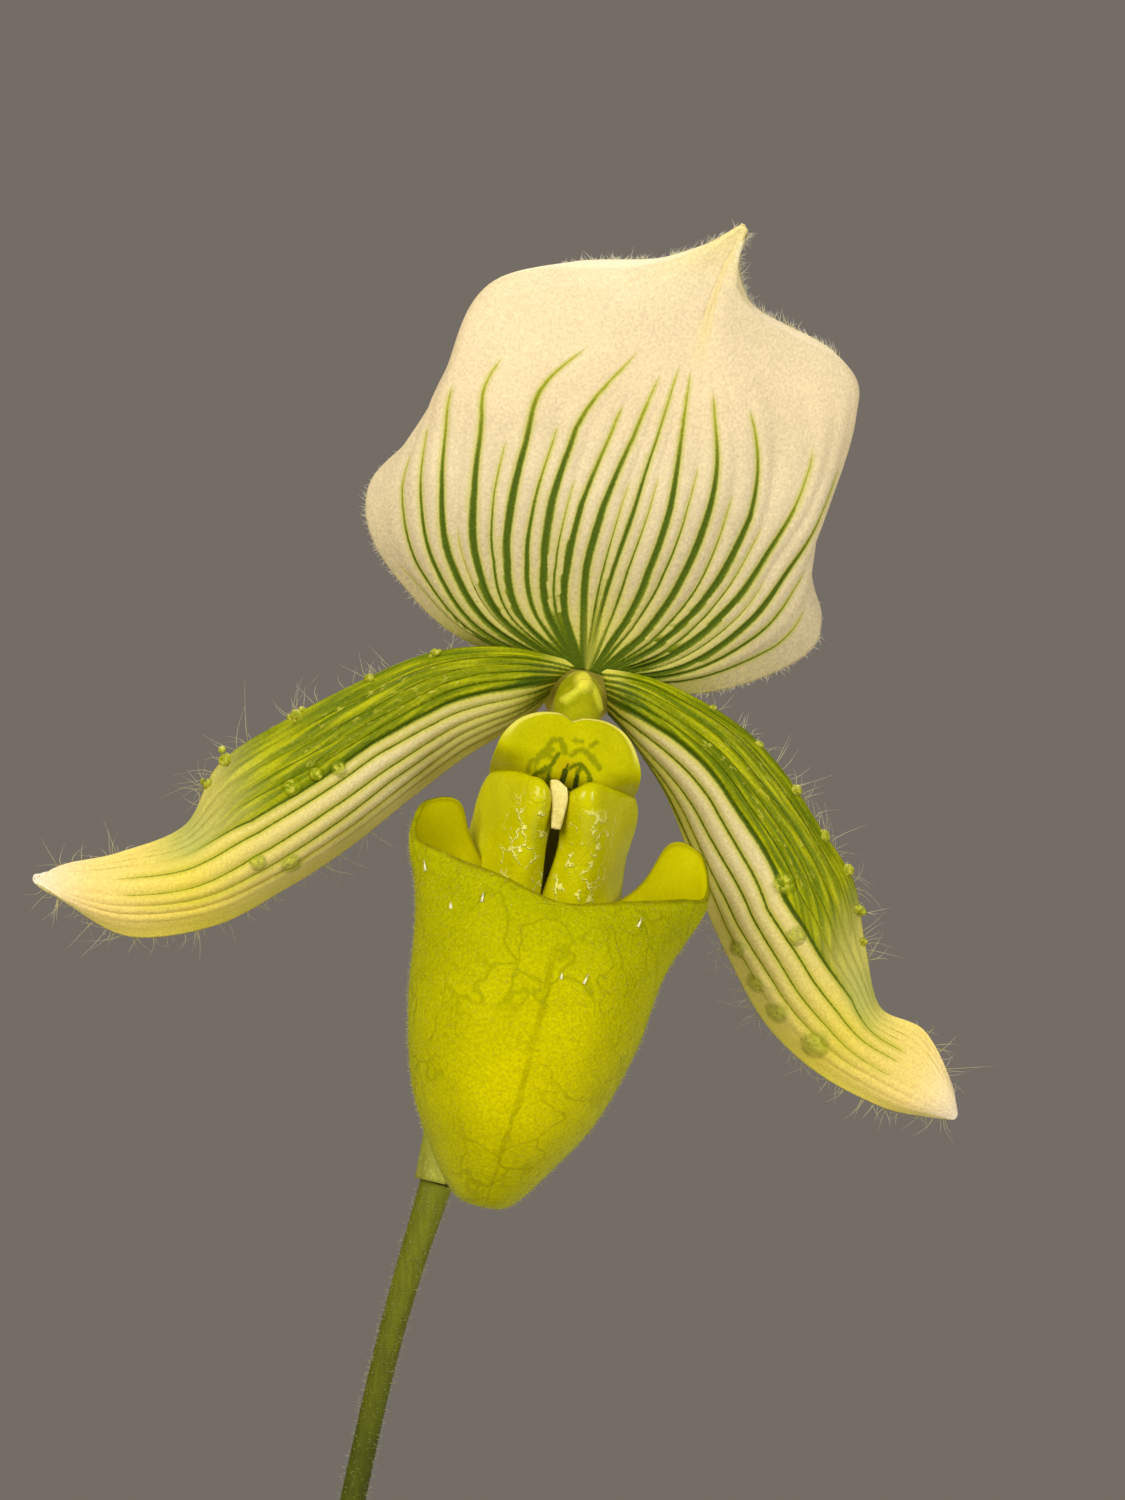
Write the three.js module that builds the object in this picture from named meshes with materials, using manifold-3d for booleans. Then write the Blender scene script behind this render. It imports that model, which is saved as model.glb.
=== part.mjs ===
// A slipper orchid (Paphiopedilum, mottled-leaf hybrid) in flower, growing in bark in a plain clay pot.
// Millimetres, +Z up. The flower looks along -Y. The origin is the middle of the pot's underside.
import * as THREE from 'three';
import { mergeVertices } from 'three/addons/utils/BufferGeometryUtils.js';
import Module from 'manifold-3d';

// Pot
const POT_HEIGHT = 95;
const POT_BASE_RADIUS = 38;
const POT_RIM_RADIUS = 55;
const POT_WALL = 4.5;
const POT_FLOOR = 6;
const RIM_BAND = 21;
const DRAIN_HOLES = 4;
const DRAIN_RADIUS = 4.5;
const DRAIN_CIRCLE = 20;

// Bark and crown
const BARK_LEVEL = 84;
const BARK_CHIPS = 34;
const CROWN = new THREE.Vector2(-6, 1);
const CROWN_RADIUS = 13;
const CROWN_TOP = 90;
const CROWN_DEPTH = 12;
const ROOT_COUNT = 5;
const ROOT_RADIUS = 2.1;
const ROOT_RINGS = 8;
const CLEARANCE = 0.3;

// Leaves
const LEAF_THICKNESS = 1.2;
const FAN_TURN = 18;

// Scape and flower
const SCAPE_SOCKET = 3.5;
const FLOWER_CENTRE = new THREE.Vector3(32, -20, 345);
const FLOWER_ROLL = 12.7;
const FLOWER_YAW = 7;
const SEPAL_THICKNESS = 0.8;
const PETAL_THICKNESS = 0.8;
const LIP_THICKNESS = 0.9;
const SHIELD_THICKNESS = 1.1;

const wasm = await Module();
wasm.setup();

const part = new THREE.Group();
part.name = 'potted_slipper_orchid';

// Seeded chance, so that every build is alike
function chance(seed) {
  let state = seed;
  return () => {
    state = (state * 16807) % 2147483647;
    return state / 2147483647;
  };
}

// Smooth curves through a few points
function radians(degrees) {
  return (degrees * Math.PI) / 180;
}

function evenSteps(count) {
  return Array.from({ length: count }, (_, i) => i / (count - 1));
}

function chordSlope(stations, points, i) {
  const step = stations[i + 1] - stations[i];
  return points[i].map((value, k) => (points[i + 1][k] - value) / step);
}

function slopeAt(stations, points, i) {
  const last = points.length - 1;
  if (i === 0 || i === last) {
    const inner = i === 0 ? 1 : last - 1;
    const chord = chordSlope(stations, points, Math.min(i, inner));
    if (last === 1) return chord;
    const next = slopeAt(stations, points, inner);
    return chord.map((value, k) => 1.5 * value - 0.5 * next[k]);
  }
  const before = chordSlope(stations, points, i - 1);
  const after = chordSlope(stations, points, i);
  const back = stations[i] - stations[i - 1];
  const ahead = stations[i + 1] - stations[i];
  return before.map((value, k) => (value * ahead + after[k] * back) / (back + ahead));
}

function splineAt(stations, points, t) {
  const last = points.length - 1;
  let i = 0;
  while (i < last - 1 && t > stations[i + 1]) i += 1;
  const step = stations[i + 1] - stations[i];
  const s = (t - stations[i]) / step;
  const leave = slopeAt(stations, points, i);
  const arrive = slopeAt(stations, points, i + 1);
  const ease = s * s * (3 - 2 * s);
  const rise = s * (1 - s) * (1 - s) * step;
  const fall = s * s * (s - 1) * step;
  return points[i].map((value, k) => {
    const other = points[i + 1][k];
    return value + (other - value) * ease + leave[k] * rise + arrive[k] * fall;
  });
}

function curveThrough(points) {
  const stations = [0];
  for (let i = 1; i < points.length; i += 1) {
    const gap = Math.hypot(...points[i].map((value, k) => value - points[i - 1][k]));
    stations.push(stations[i - 1] + gap);
  }
  const total = stations[stations.length - 1];
  const even = stations.map((value) => value / total);
  return (t) => splineAt(even, points, t);
}

function profileOf(pairs) {
  const stations = pairs.map((pair) => pair[0]);
  const values = pairs.map((pair) => [pair[1]]);
  return (t) => splineAt(stations, values, t)[0];
}

// Closed surfaces from points and triangles
function solidOf(points, triangles) {
  const geometry = new THREE.BufferGeometry();
  geometry.setAttribute('position', new THREE.Float32BufferAttribute(points.flat(), 3));
  geometry.setIndex(triangles.flat());
  return geometry;
}

function skinOver(rings, startPole, endPole) {
  const count = rings[0].length;
  const points = rings.flat();
  const triangles = [];
  for (let j = 0; j + 1 < rings.length; j += 1) {
    for (let i = 0; i < count; i += 1) {
      const next = (i + 1) % count;
      const a = j * count + i;
      const b = j * count + next;
      triangles.push([a, b, b + count], [a, b + count, a + count]);
    }
  }
  const first = points.push(startPole) - 1;
  const final = points.push(endPole) - 1;
  const top = (rings.length - 1) * count;
  for (let i = 0; i < count; i += 1) {
    const next = (i + 1) % count;
    triangles.push([next, i, first], [top + i, top + next, final]);
  }
  return solidOf(points, triangles);
}

function revolve(profile, sides, centre = [0, 0]) {
  const rings = profile.slice(1, -1).map(([radius, z]) =>
    Array.from({ length: sides }, (_, i) => {
      const angle = (2 * Math.PI * i) / sides;
      return [centre[0] + radius * Math.cos(angle), centre[1] + radius * Math.sin(angle), z];
    }));
  const low = profile[0][1];
  const high = profile[profile.length - 1][1];
  return skinOver(rings, [centre[0], centre[1], low], [centre[0], centre[1], high]);
}

function tubeAlong(curve, radiusAt, rings, sides, reach = 1) {
  let normal = null;
  const loops = [];
  for (let j = 0; j <= rings; j += 1) {
    const t = (j / rings) * reach;
    const centre = new THREE.Vector3(...curve(t));
    const ahead = new THREE.Vector3(...curve(Math.min(t + 0.01, 1)));
    const behind = new THREE.Vector3(...curve(Math.max(t - 0.01, 0)));
    const along = ahead.sub(behind).normalize();
    if (!normal) normal = new THREE.Vector3(1, 0, 0);
    normal.addScaledVector(along, -normal.dot(along)).normalize();
    const other = new THREE.Vector3().crossVectors(along, normal);
    const loop = [];
    for (let i = 0; i < sides; i += 1) {
      const angle = (2 * Math.PI * i) / sides;
      const radius = radiusAt(t, angle);
      const point = centre.clone();
      point.addScaledVector(normal, radius * Math.cos(angle));
      point.addScaledVector(other, radius * Math.sin(angle));
      loop.push(point.toArray());
    }
    loops.push(loop);
  }
  return skinOver(loops, curve(0), curve(reach));
}

// A sheet is a function of (u, v): u runs across from -1 to 1 and v along from 0 to 1
function netSheet(columns, across) {
  const along = evenSteps(columns[0].length);
  return (u, v) => splineAt(across, columns.map((column) => splineAt(along, column, v)), u);
}

function normalOf(sheet, u, v) {
  const step = 0.004;
  const right = new THREE.Vector3(...sheet(u + step, v));
  const left = new THREE.Vector3(...sheet(u - step, v));
  const up = new THREE.Vector3(...sheet(u, v + step));
  const down = new THREE.Vector3(...sheet(u, v - step));
  return right.sub(left).cross(up.sub(down)).normalize();
}

// Gives a sheet its thickness. Both faces are split alike and the free edges are closed.
function thicken(sheet, columns, rows, thickness, round = false) {
  const count = round ? columns : columns + 1;
  const points = [];
  const triangles = [];
  for (const side of [0.5, -0.5]) {
    for (let j = 0; j <= rows; j += 1) {
      for (let i = 0; i < count; i += 1) {
        const u = -1 + (2 * i) / columns;
        const v = j / rows;
        const point = new THREE.Vector3(...sheet(u, v));
        point.addScaledVector(normalOf(sheet, u, v), side * thickness);
        points.push(point.toArray());
      }
    }
  }
  const layer = count * (rows + 1);
  const at = (i, j) => j * count + (i % count);
  const seam = (p, q) => triangles.push([p, q, q + layer], [p, q + layer, p + layer]);
  for (let j = 0; j < rows; j += 1) {
    for (let i = 0; i < columns; i += 1) {
      const a = at(i, j);
      const b = at(i + 1, j);
      const c = at(i + 1, j + 1);
      const d = at(i, j + 1);
      triangles.push([a, b, c], [a, c, d]);
      triangles.push([a + layer, c + layer, b + layer], [a + layer, d + layer, c + layer]);
    }
    if (!round) {
      seam(at(0, j), at(0, j + 1));
      seam(at(columns, j + 1), at(columns, j));
    }
  }
  for (let i = 0; i < columns; i += 1) seam(at(i, rows), at(i + 1, rows));
  if (!round) {
    for (let i = 0; i < columns; i += 1) seam(at(i + 1, 0), at(i, 0));
    return solidOf(points, triangles);
  }
  for (const base of [0, layer]) {
    const ring = points.slice(base, base + count);
    const middle = [0, 1, 2].map((k) => ring.reduce((sum, point) => sum + point[k], 0) / count);
    const pole = points.push(middle) - 1;
    for (let i = 0; i < count; i += 1) {
      const next = (i + 1) % count;
      if (base === 0) triangles.push([next, i, pole]);
      else triangles.push([base + i, base + next, pole]);
    }
  }
  return solidOf(points, triangles);
}

// Union and difference of closed bodies
function bare(geometry) {
  const plain = geometry.clone();
  for (const name of Object.keys(plain.attributes)) {
    if (name !== 'position') plain.deleteAttribute(name);
  }
  return mergeVertices(plain, 1e-4);
}

function toManifold(geometry) {
  const plain = bare(geometry);
  return new wasm.Manifold(new wasm.Mesh({
    numProp: 3,
    vertProperties: new Float32Array(plain.attributes.position.array),
    triVerts: new Uint32Array(plain.index.array),
  }));
}

function fromManifold(body) {
  const mesh = body.getMesh();
  const geometry = new THREE.BufferGeometry();
  geometry.setAttribute('position', new THREE.Float32BufferAttribute(mesh.vertProperties, 3));
  geometry.setIndex(Array.from(mesh.triVerts));
  return geometry;
}

function unite(geometries) {
  return fromManifold(geometries.map(toManifold).reduce((sum, body) => sum.add(body)));
}

function cutAway(geometry, cutters) {
  const whole = toManifold(geometry);
  return fromManifold(cutters.map(toManifold).reduce((rest, body) => rest.subtract(body), whole));
}

function knob(centre, size, detail = 1) {
  const geometry = bare(new THREE.OctahedronGeometry(1, detail));
  geometry.scale(...size);
  geometry.translate(...centre);
  return geometry;
}

function addPiece(name, geometry, colour, roughness) {
  geometry.computeVertexNormals();
  const material = new THREE.MeshStandardMaterial({ color: colour, roughness, metalness: 0 });
  const mesh = new THREE.Mesh(geometry, material);
  mesh.name = name;
  part.add(mesh);
}

function placeFlower(geometry) {
  const turn = new THREE.Matrix4().makeRotationY(radians(FLOWER_ROLL));
  turn.multiply(new THREE.Matrix4().makeRotationZ(radians(FLOWER_YAW)));
  turn.setPosition(FLOWER_CENTRE);
  geometry.applyMatrix4(turn);
  return geometry;
}

function flowerPoint(point) {
  const turn = new THREE.Matrix4().makeRotationY(radians(FLOWER_ROLL));
  turn.multiply(new THREE.Matrix4().makeRotationZ(radians(FLOWER_YAW)));
  return new THREE.Vector3(...point).applyMatrix4(turn).add(FLOWER_CENTRE).toArray();
}

function nearFlower(point) {
  return new THREE.Vector3(...point).add(FLOWER_CENTRE).toArray();
}

// Pot: tapered wall, plain rim band, flat floor with a ring of drain holes
const bandFoot = POT_HEIGHT - RIM_BAND;
const wallTop = POT_RIM_RADIUS - 5;
const potProfile = [
  [0, 0],
  [POT_BASE_RADIUS - 1.5, 0],
  [POT_BASE_RADIUS, 1.5],
  [wallTop, bandFoot],
  [POT_RIM_RADIUS - 1, bandFoot + 1],
  [POT_RIM_RADIUS, POT_HEIGHT - 1.5],
  [POT_RIM_RADIUS - 1.5, POT_HEIGHT],
  [POT_RIM_RADIUS - POT_WALL + 0.5, POT_HEIGHT],
  [POT_RIM_RADIUS - POT_WALL - 0.5, POT_HEIGHT - 1.5],
  [wallTop - POT_WALL, bandFoot - 4],
  [POT_BASE_RADIUS - POT_WALL + 1, POT_FLOOR + 4],
  [POT_BASE_RADIUS - POT_WALL - 2, POT_FLOOR],
  [0, POT_FLOOR],
];
const drains = Array.from({ length: DRAIN_HOLES }, (_, i) => {
  const angle = (2 * Math.PI * (i + 0.5)) / DRAIN_HOLES;
  const centre = [DRAIN_CIRCLE * Math.cos(angle), DRAIN_CIRCLE * Math.sin(angle)];
  const [low, high] = [-2, POT_FLOOR + 2];
  return revolve([[0, low], [DRAIN_RADIUS, low], [DRAIN_RADIUS, high], [0, high]], 12, centre);
});
addPiece('pot', cutAway(revolve(potProfile, 40), drains), 0xb4603c, 0.9);

// Crown: the short rootstock, with thick roots that dive into the bark
function crownShape(extra) {
  const radius = CROWN_RADIUS + extra;
  const low = CROWN_TOP - CROWN_DEPTH - extra;
  const high = CROWN_TOP + extra * 12;
  const foot = [[0, low], [radius * 0.6, low], [radius, low + 3.5]];
  const shoulder = [[radius, high - 2.5], [radius - 2, high], [0, high]];
  return revolve([...foot, ...shoulder], 20, CROWN.toArray());
}

function rootShape(index, extra, rings) {
  const angle = (2 * Math.PI * (index + 0.35)) / ROOT_COUNT;
  const reach = 24 + 4 * Math.sin(index * 2.1);
  const drop = 24 + 6 * Math.cos(index * 1.7);
  const point = (r, z, turn) => [
    CROWN.x + r * Math.cos(angle + turn),
    CROWN.y + r * Math.sin(angle + turn),
    z,
  ];
  const curve = curveThrough([
    point(CROWN_RADIUS - 5, CROWN_TOP - 7, 0),
    point(CROWN_RADIUS + 4, CROWN_TOP - 5.5, 0.05),
    point(reach - 4, CROWN_TOP - 11, 0.14),
    point(reach, CROWN_TOP - drop, 0.2),
    point(reach - 3, CROWN_TOP - drop - 16, 0.1),
  ]);
  const radius = (t) => extra + ROOT_RADIUS * (1 - 0.25 * t);
  return tubeAlong(curve, radius, rings, 7, rings / (ROOT_RINGS + 1));
}

const rootIndexes = Array.from({ length: ROOT_COUNT }, (_, i) => i);
const scapeBase = [CROWN.x, CROWN.y, CROWN_TOP - SCAPE_SOCKET + CLEARANCE];
const socket = revolve(
  [[0, CROWN_TOP - SCAPE_SOCKET], [2.6, CROWN_TOP - SCAPE_SOCKET], [2.6, CROWN_TOP + 3], [0, CROWN_TOP + 3]],
  16,
  CROWN.toArray(),
);
const crown = unite([crownShape(0), ...rootIndexes.map((i) => rootShape(i, 0, ROOT_RINGS))]);
addPiece('crown', cutAway(crown, [socket]), 0x8a7a4a, 0.8);

// Bark: a filled body with seeded chips fused into its top
const barkProfile = [
  [0, POT_FLOOR + CLEARANCE],
  [POT_BASE_RADIUS - POT_WALL - 2.6, POT_FLOOR + CLEARANCE],
  [POT_BASE_RADIUS - POT_WALL + 0.4, POT_FLOOR + 4.4],
  [wallTop - POT_WALL - 0.6, bandFoot - 4],
  [wallTop - POT_WALL + 1.8, BARK_LEVEL],
  [24, BARK_LEVEL + 1],
  [0, BARK_LEVEL + 1],
];

function barkChip(random) {
  const geometry = bare(new THREE.BoxGeometry(1, 1, 1));
  const position = geometry.attributes.position;
  for (let i = 0; i < position.count; i += 1) {
    const push = () => (random() - 0.5) * 0.5;
    position.setXYZ(i, position.getX(i) + push(), position.getY(i) + push(), position.getZ(i) + push());
  }
  geometry.scale(8 + 7 * random(), 6 + 4 * random(), 4 + 2.5 * random());
  geometry.rotateX((random() - 0.5) * 0.9);
  geometry.rotateY((random() - 0.5) * 0.9);
  geometry.rotateZ(random() * Math.PI * 2);
  return geometry;
}

const CHIP_SPREAD = 37;
const CHIP_TURN = 2.4;
const barkRandom = chance(4711);
const chips = [];
for (let i = 0; i < BARK_CHIPS; i += 1) {
  const chip = barkChip(barkRandom);
  const spot = new THREE.Vector2(CHIP_SPREAD * Math.sqrt((i + 0.6) / BARK_CHIPS), 0);
  spot.rotateAround(new THREE.Vector2(), i * CHIP_TURN);
  chip.translate(spot.x, spot.y, BARK_LEVEL + 0.4 + 1.6 * barkRandom());
  if (spot.distanceTo(CROWN) > CROWN_RADIUS + 3) chips.push(chip);
}
const rootHollows = rootIndexes.map((i) => rootShape(i, 2 * CLEARANCE, ROOT_RINGS + 1));
const hollows = [crownShape(CLEARANCE), ...rootHollows];
addPiece('bark_mix', cutAway(unite([revolve(barkProfile, 32), ...chips]), hollows), 0x6b4a30, 0.95);

// Leaves: keeled, folded at the foot, in two ranks on either side of the scape
const leafWidth = profileOf([
  [0, 0.3], [0.12, 0.38], [0.3, 0.74], [0.5, 0.98], [0.7, 0.95], [0.87, 0.66], [0.96, 0.32], [1, 0.06],
]);
const leafFold = profileOf([[0, 46], [0.15, 44], [0.35, 30], [0.6, 17], [0.85, 13], [1, 10]]);

function leafSheet(turn, halfWidth, spine, sway) {
  const curve = curveThrough(spine);
  const angle = radians(turn);
  return (u, v) => {
    const [reach, height] = curve(v);
    const [nextReach, nextHeight] = curve(v + 0.01);
    const [lastReach, lastHeight] = curve(v - 0.01);
    const length = Math.hypot(nextReach - lastReach, nextHeight - lastHeight);
    const tilt = [(nextReach - lastReach) / length, (nextHeight - lastHeight) / length];
    const fold = radians(leafFold(v));
    const spread = u * halfWidth * leafWidth(v);
    const bend = Math.sqrt(u * u + 0.015) - 0.12;
    const wave = 0.7 * v * u * u * Math.sin(v * 17 + u * 2.5);
    const lift = halfWidth * leafWidth(v) * bend * Math.sin(fold) + wave;
    const r = reach - tilt[1] * lift;
    const side = spread * Math.cos(fold) + sway * v * v;
    return [
      CROWN.x + r * Math.cos(angle) - side * Math.sin(angle),
      CROWN.y + r * Math.sin(angle) + side * Math.cos(angle),
      CROWN_TOP + 1.5 * CLEARANCE + height + tilt[0] * lift,
    ];
  };
}

const leaves = [
  { turn: 180 + FAN_TURN, half: 20, sway: 9,
    spine: [[11.5, 0], [13, 14], [27, 28], [56, 34], [91, 26], [121, 6], [132, -8]] },
  { turn: FAN_TURN, half: 21, sway: -9,
    spine: [[11.5, 0], [13, 15], [28, 31], [59, 41], [93, 38], [125, 22], [139, 8]] },
  { turn: 180 + FAN_TURN, half: 19.5, sway: -7,
    spine: [[8.5, 0], [9.5, 20], [20, 43], [46, 61], [78, 67], [108, 58], [122, 48]] },
  { turn: FAN_TURN, half: 19, sway: 8,
    spine: [[8.5, 0], [9.5, 20], [19, 45], [42, 65], [72, 76], [100, 72], [115, 63]] },
  { turn: 180 + FAN_TURN, half: 15, sway: 5,
    spine: [[5.5, 0], [6, 20], [12, 45], [26, 68], [45, 84], [62, 91]] },
  { turn: FAN_TURN, half: 12, sway: -3,
    spine: [[5.5, 0], [6, 20], [10.5, 44], [19, 66], [31, 85], [42, 97]] },
];
leaves.forEach((leaf, index) => {
  const sheet = leafSheet(leaf.turn, leaf.half, leaf.spine, leaf.sway);
  addPiece(`leaf_${index + 1}`, thicken(sheet, 8, 13, LEAF_THICKNESS), 0x5f7d3a, 0.5);
});

// Scape: the single flower stem, swollen at the node where the bract sits
const scapeCurve = curveThrough([
  scapeBase,
  [-6.5, 1, 140],
  [-4.5, 1.8, 185],
  [-0.4, 2.6, 220],
  nearFlower([-26.4, 23, -92.2]),
  nearFlower([-21, 23, -69.4]),
  nearFlower([-16.8, 23, -55.9]),
]);
const scapeRadius = profileOf([[0, 2.2], [0.4, 1.9], [0.75, 1.5], [0.93, 1.5], [0.975, 1.7], [1, 1.9]]);
addPiece('scape', tubeAlong(scapeCurve, scapeRadius, 20, 12), 0x6c7a35, 0.6);

// Ovary: the ribbed stalk between the scape and the back of the flower
const ovaryPoints = [
  nearFlower([-16.6, 23.1, -55.5]),
  nearFlower([-14.2, 24, -46]),
  nearFlower([-10.5, 24, -34]),
  nearFlower([-6, 21.5, -20]),
  nearFlower([-2.8, 15.5, -8.5]),
  flowerPoint([0, 8, -1.6]),
  flowerPoint([-0.3, 3.2, -0.4]),
];
const ovaryCurve = curveThrough(ovaryPoints);
const ovaryRadius = profileOf([[0, 1.6], [0.12, 1.9], [0.5, 2.5], [0.8, 2.3], [0.93, 2.8], [1, 4]]);
const ribbed = (t, angle) => ovaryRadius(t) * (1 + 0.1 * Math.sin(Math.PI * t) * Math.cos(6 * angle));
addPiece('ovary', tubeAlong(ovaryCurve, ribbed, 13, 18), 0x7d7a3a, 0.7);

// Bract: a small boat-shaped sheath round the ovary's foot
function bractSheet(u, v) {
  const t = 0.004 + 0.36 * v;
  const centre = new THREE.Vector3(...ovaryCurve(t));
  const behind = new THREE.Vector3(...ovaryCurve(t - 0.01));
  const along = new THREE.Vector3(...ovaryCurve(t + 0.01)).sub(behind).normalize();
  const back = new THREE.Vector3(-0.45, 0.89, 0);
  back.addScaledVector(along, -back.dot(along)).normalize();
  const side = new THREE.Vector3().crossVectors(along, back);
  const spread = u * radians(138) * Math.sqrt(Math.max(1 - v * v * 0.98, 0.01));
  const radius = ovaryRadius(t) + 0.75 + 1.4 * v * v;
  centre.addScaledVector(back, radius * Math.cos(spread));
  centre.addScaledVector(side, radius * Math.sin(spread));
  return centre.toArray();
}
addPiece('bract', thicken(bractSheet, 10, 8, 0.7), 0x9c8a55, 0.7);

// Flower pieces are given in the flower's own frame: X right, -Y towards the viewer, Z up
const dorsalColumns = [
  [[-2.4, 2.6, 3.4], [-14.3, 5, 2.7], [-22.8, 6, 8.2], [-27, 6, 14.5], [-26.2, 6.5, 20.2],
    [-18.5, 9.5, 29.5], [-14.6, 3, 43.3], [-1.6, -0.8, 47.9], [4.4, -5.8, 52.2]],
  [[-1.9, 2.55, 3.4], [-13.3, 3.8, 3.2], [-20.6, 3, 9.2], [-23.8, 2.6, 16], [-24, 2.6, 22.5], [-22, 2.8, 30],
    [-19, 1, 41.3], [-3.2, -2.6, 46.5], [4.6, -5.9, 52.3]],
  [[-1.2, 2.5, 3.5], [-10.5, 1.9, 5.5], [-15.5, 0.6, 11], [-17.5, -0.6, 17], [-18, -1.2, 23.5],
    [-17.5, -1.6, 30.5], [-11.5, -2, 38], [-2, -3.6, 45.4], [4.8, -6, 52.4]],
  [[0, 2.5, 3.6], [0, 1, 8.5], [0, -0.5, 13.5], [0.3, -1.6, 19], [0.7, -2.3, 25.5], [1.4, -2.7, 32],
    [2.3, -3, 40], [3.5, -4.2, 47], [5, -6, 52.6]],
  [[1.2, 2.5, 3.5], [6, 1.9, 7], [10.5, 0.7, 13.5], [13, -0.6, 21], [14, -1.2, 27.5], [13, -1.6, 34],
    [9.5, -2, 40.5], [5.8, -3.8, 45.9], [5.2, -6, 52.4]],
  [[1.9, 2.55, 3.4], [11.5, 3.6, 4], [18.5, 3, 10], [21, 2.8, 16.5], [21.8, 3, 24], [22.9, 3, 35.5],
    [20.4, 2, 41], [7.2, -2.6, 44.8], [5.4, -5.9, 52.3]],
  [[2.4, 2.6, 3.4], [13, 5, 2.5], [23, 6, 8.3], [24.8, 6.4, 13.8], [20.2, 9.5, 23], [21.8, 8, 35.5],
    [19.8, 3.6, 42.2], [8, -1.2, 45.4], [5.6, -5.8, 52.2]],
];
const dorsalNet = netSheet(dorsalColumns, [-1, -0.85, -0.55, 0, 0.55, 0.85, 1]);
addPiece('dorsal_sepal', placeFlower(thicken(dorsalNet, 20, 18, SEPAL_THICKNESS)), 0xe6dcb4, 0.55);

// Synsepal: the two lower sepals grown together, behind the lip
function synsepalSheet(u, v) {
  const half = splineAt([0, 0.2, 0.45, 0.75, 1], [[2.6], [4.6], [7.6], [6.6], [0.5]], v)[0];
  const [y, z] = splineAt([0, 0.3, 0.65, 1], [[3.5, -5.3], [2.8, -14.5], [1.4, -26.5], [-0.6, -38]], v);
  return [-0.7 + half * u, y + 1.6 * u * u * Math.sin(Math.PI * Math.min(v + 0.1, 1)), z + 1.2 * u * u];
}
addPiece('synsepal', placeFlower(thicken(synsepalSheet, 10, 10, SEPAL_THICKNESS)), 0xc9c487, 0.6);

// Petals: an upper margin, a raised middle line and a lower margin, each from foot to tip
function petalSheet(upper, middle, lower) {
  const along = evenSteps(middle.length);
  return (u, v) => {
    const high = splineAt(along, upper, v);
    const mid = splineAt(along, middle, v);
    const low = splineAt(along, lower, v);
    const ripple = 0.5 * u ** 4 * Math.sin(v * 26 + u * 1.5) * Math.sin(Math.PI * v);
    return mid.map((value, k) => {
      const slant = (high[k] - low[k]) / 2;
      const bow = (high[k] + low[k]) / 2 - value;
      return value + slant * u + bow * u * u + (k === 1 ? ripple : 0);
    });
  };
}

function wartsOn(sheet, places) {
  return places.map(([u, v, size]) => {
    const point = new THREE.Vector3(...sheet(u, v));
    point.addScaledVector(normalOf(sheet, u, v), Math.abs(u) > 0.95 ? 0 : -0.35);
    return knob(point.toArray(), [size, size * 0.8, size * 0.9]);
  });
}

const leftPetal = petalSheet(
  [[-1, 2.4, 2.7], [-10, 1, 2.5], [-17.5, 1, 0], [-24, 1, -4.5], [-30.5, 1, -10], [-36.9, 1, -16.5],
    [-39, 1.9, -23.9], [-45.2, 3, -28.4], [-50.4, 3, -30.7], [-53.4, 2, -32.7]],
  [[-3.2, 2.3, 0.5], [-8, -1, -2], [-14.5, -2, -5.5], [-20, -3, -11], [-25.5, -3, -17.5],
    [-31.5, -3, -23.5], [-37, -2, -29], [-44.5, 0, -32], [-51, 2, -33], [-53.8, 2, -33.1]],
  [[-3.8, 2.4, -2], [-6, 1, -5], [-11.3, 1, -10], [-15.9, 1, -15.5], [-21, 1, -21.8], [-27, 1, -28],
    [-33.5, 1, -33.5], [-42.2, 2, -36.8], [-49.6, 2, -34.8], [-53.4, 2, -33.6]],
);
const leftWarts = [
  [1, 0.19, 0.7], [1, 0.31, 0.75], [1, 0.44, 0.8], [1, 0.55, 0.8], [1, 0.62, 0.7],
  [0.1, 0.5, 0.7], [-0.1, 0.43, 0.7], [0, 0.36, 0.6], [-0.55, 0.53, 0.7],
];
addPiece('petal_left', placeFlower(unite([
  thicken(leftPetal, 8, 20, PETAL_THICKNESS),
  ...wartsOn(leftPetal, leftWarts),
])), 0xa9a55a, 0.5);

const rightPetal = petalSheet(
  [[1.4, 2.4, 2.7], [8.5, 1, 2.6], [17.1, 1, 0.1], [22.9, 1, -3.5], [29, 1, -9.3], [33.8, 1, -14],
    [36.5, 1, -20.5], [40, 2, -27], [45.5, 2, -28.5], [49.5, 1, -33.5], [50.6, 1, -36.4]],
  [[2.9, 2.3, 0.5], [7, -1, -1], [14, -2, -4.5], [19.5, -3, -9.5], [24.5, -3, -14.5], [28, -3, -20],
    [32, -2, -26], [37.5, -1, -31], [44, 0, -33.5], [48.5, 0, -35.5], [50.8, 1, -36.9]],
  [[3.4, 2.4, -2], [6.4, 1, -4.2], [11, 1, -8.7], [15.2, 1, -14.7], [18.2, 1, -19.8], [22.6, 1, -25.7],
    [28.3, 1, -31.6], [35, 1, -35.5], [42.5, 1, -37.5], [47.5, 1, -37.5], [50.5, 1, -37.3]],
);
const rightWarts = [
  [1, 0.2, 0.7], [1, 0.28, 0.75], [1, 0.38, 0.75], [1, 0.49, 0.7], [1, 0.56, 0.7], [1, 0.62, 0.7],
  [-0.2, 0.56, 0.7], [-0.2, 0.62, 0.7], [0.1, 0.51, 0.6], [-0.7, 0.58, 0.6],
];
addPiece('petal_right', placeFlower(unite([
  thicken(rightPetal, 8, 22, PETAL_THICKNESS),
  ...wartsOn(rightPetal, rightWarts),
])), 0xa9a55a, 0.5);

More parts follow.
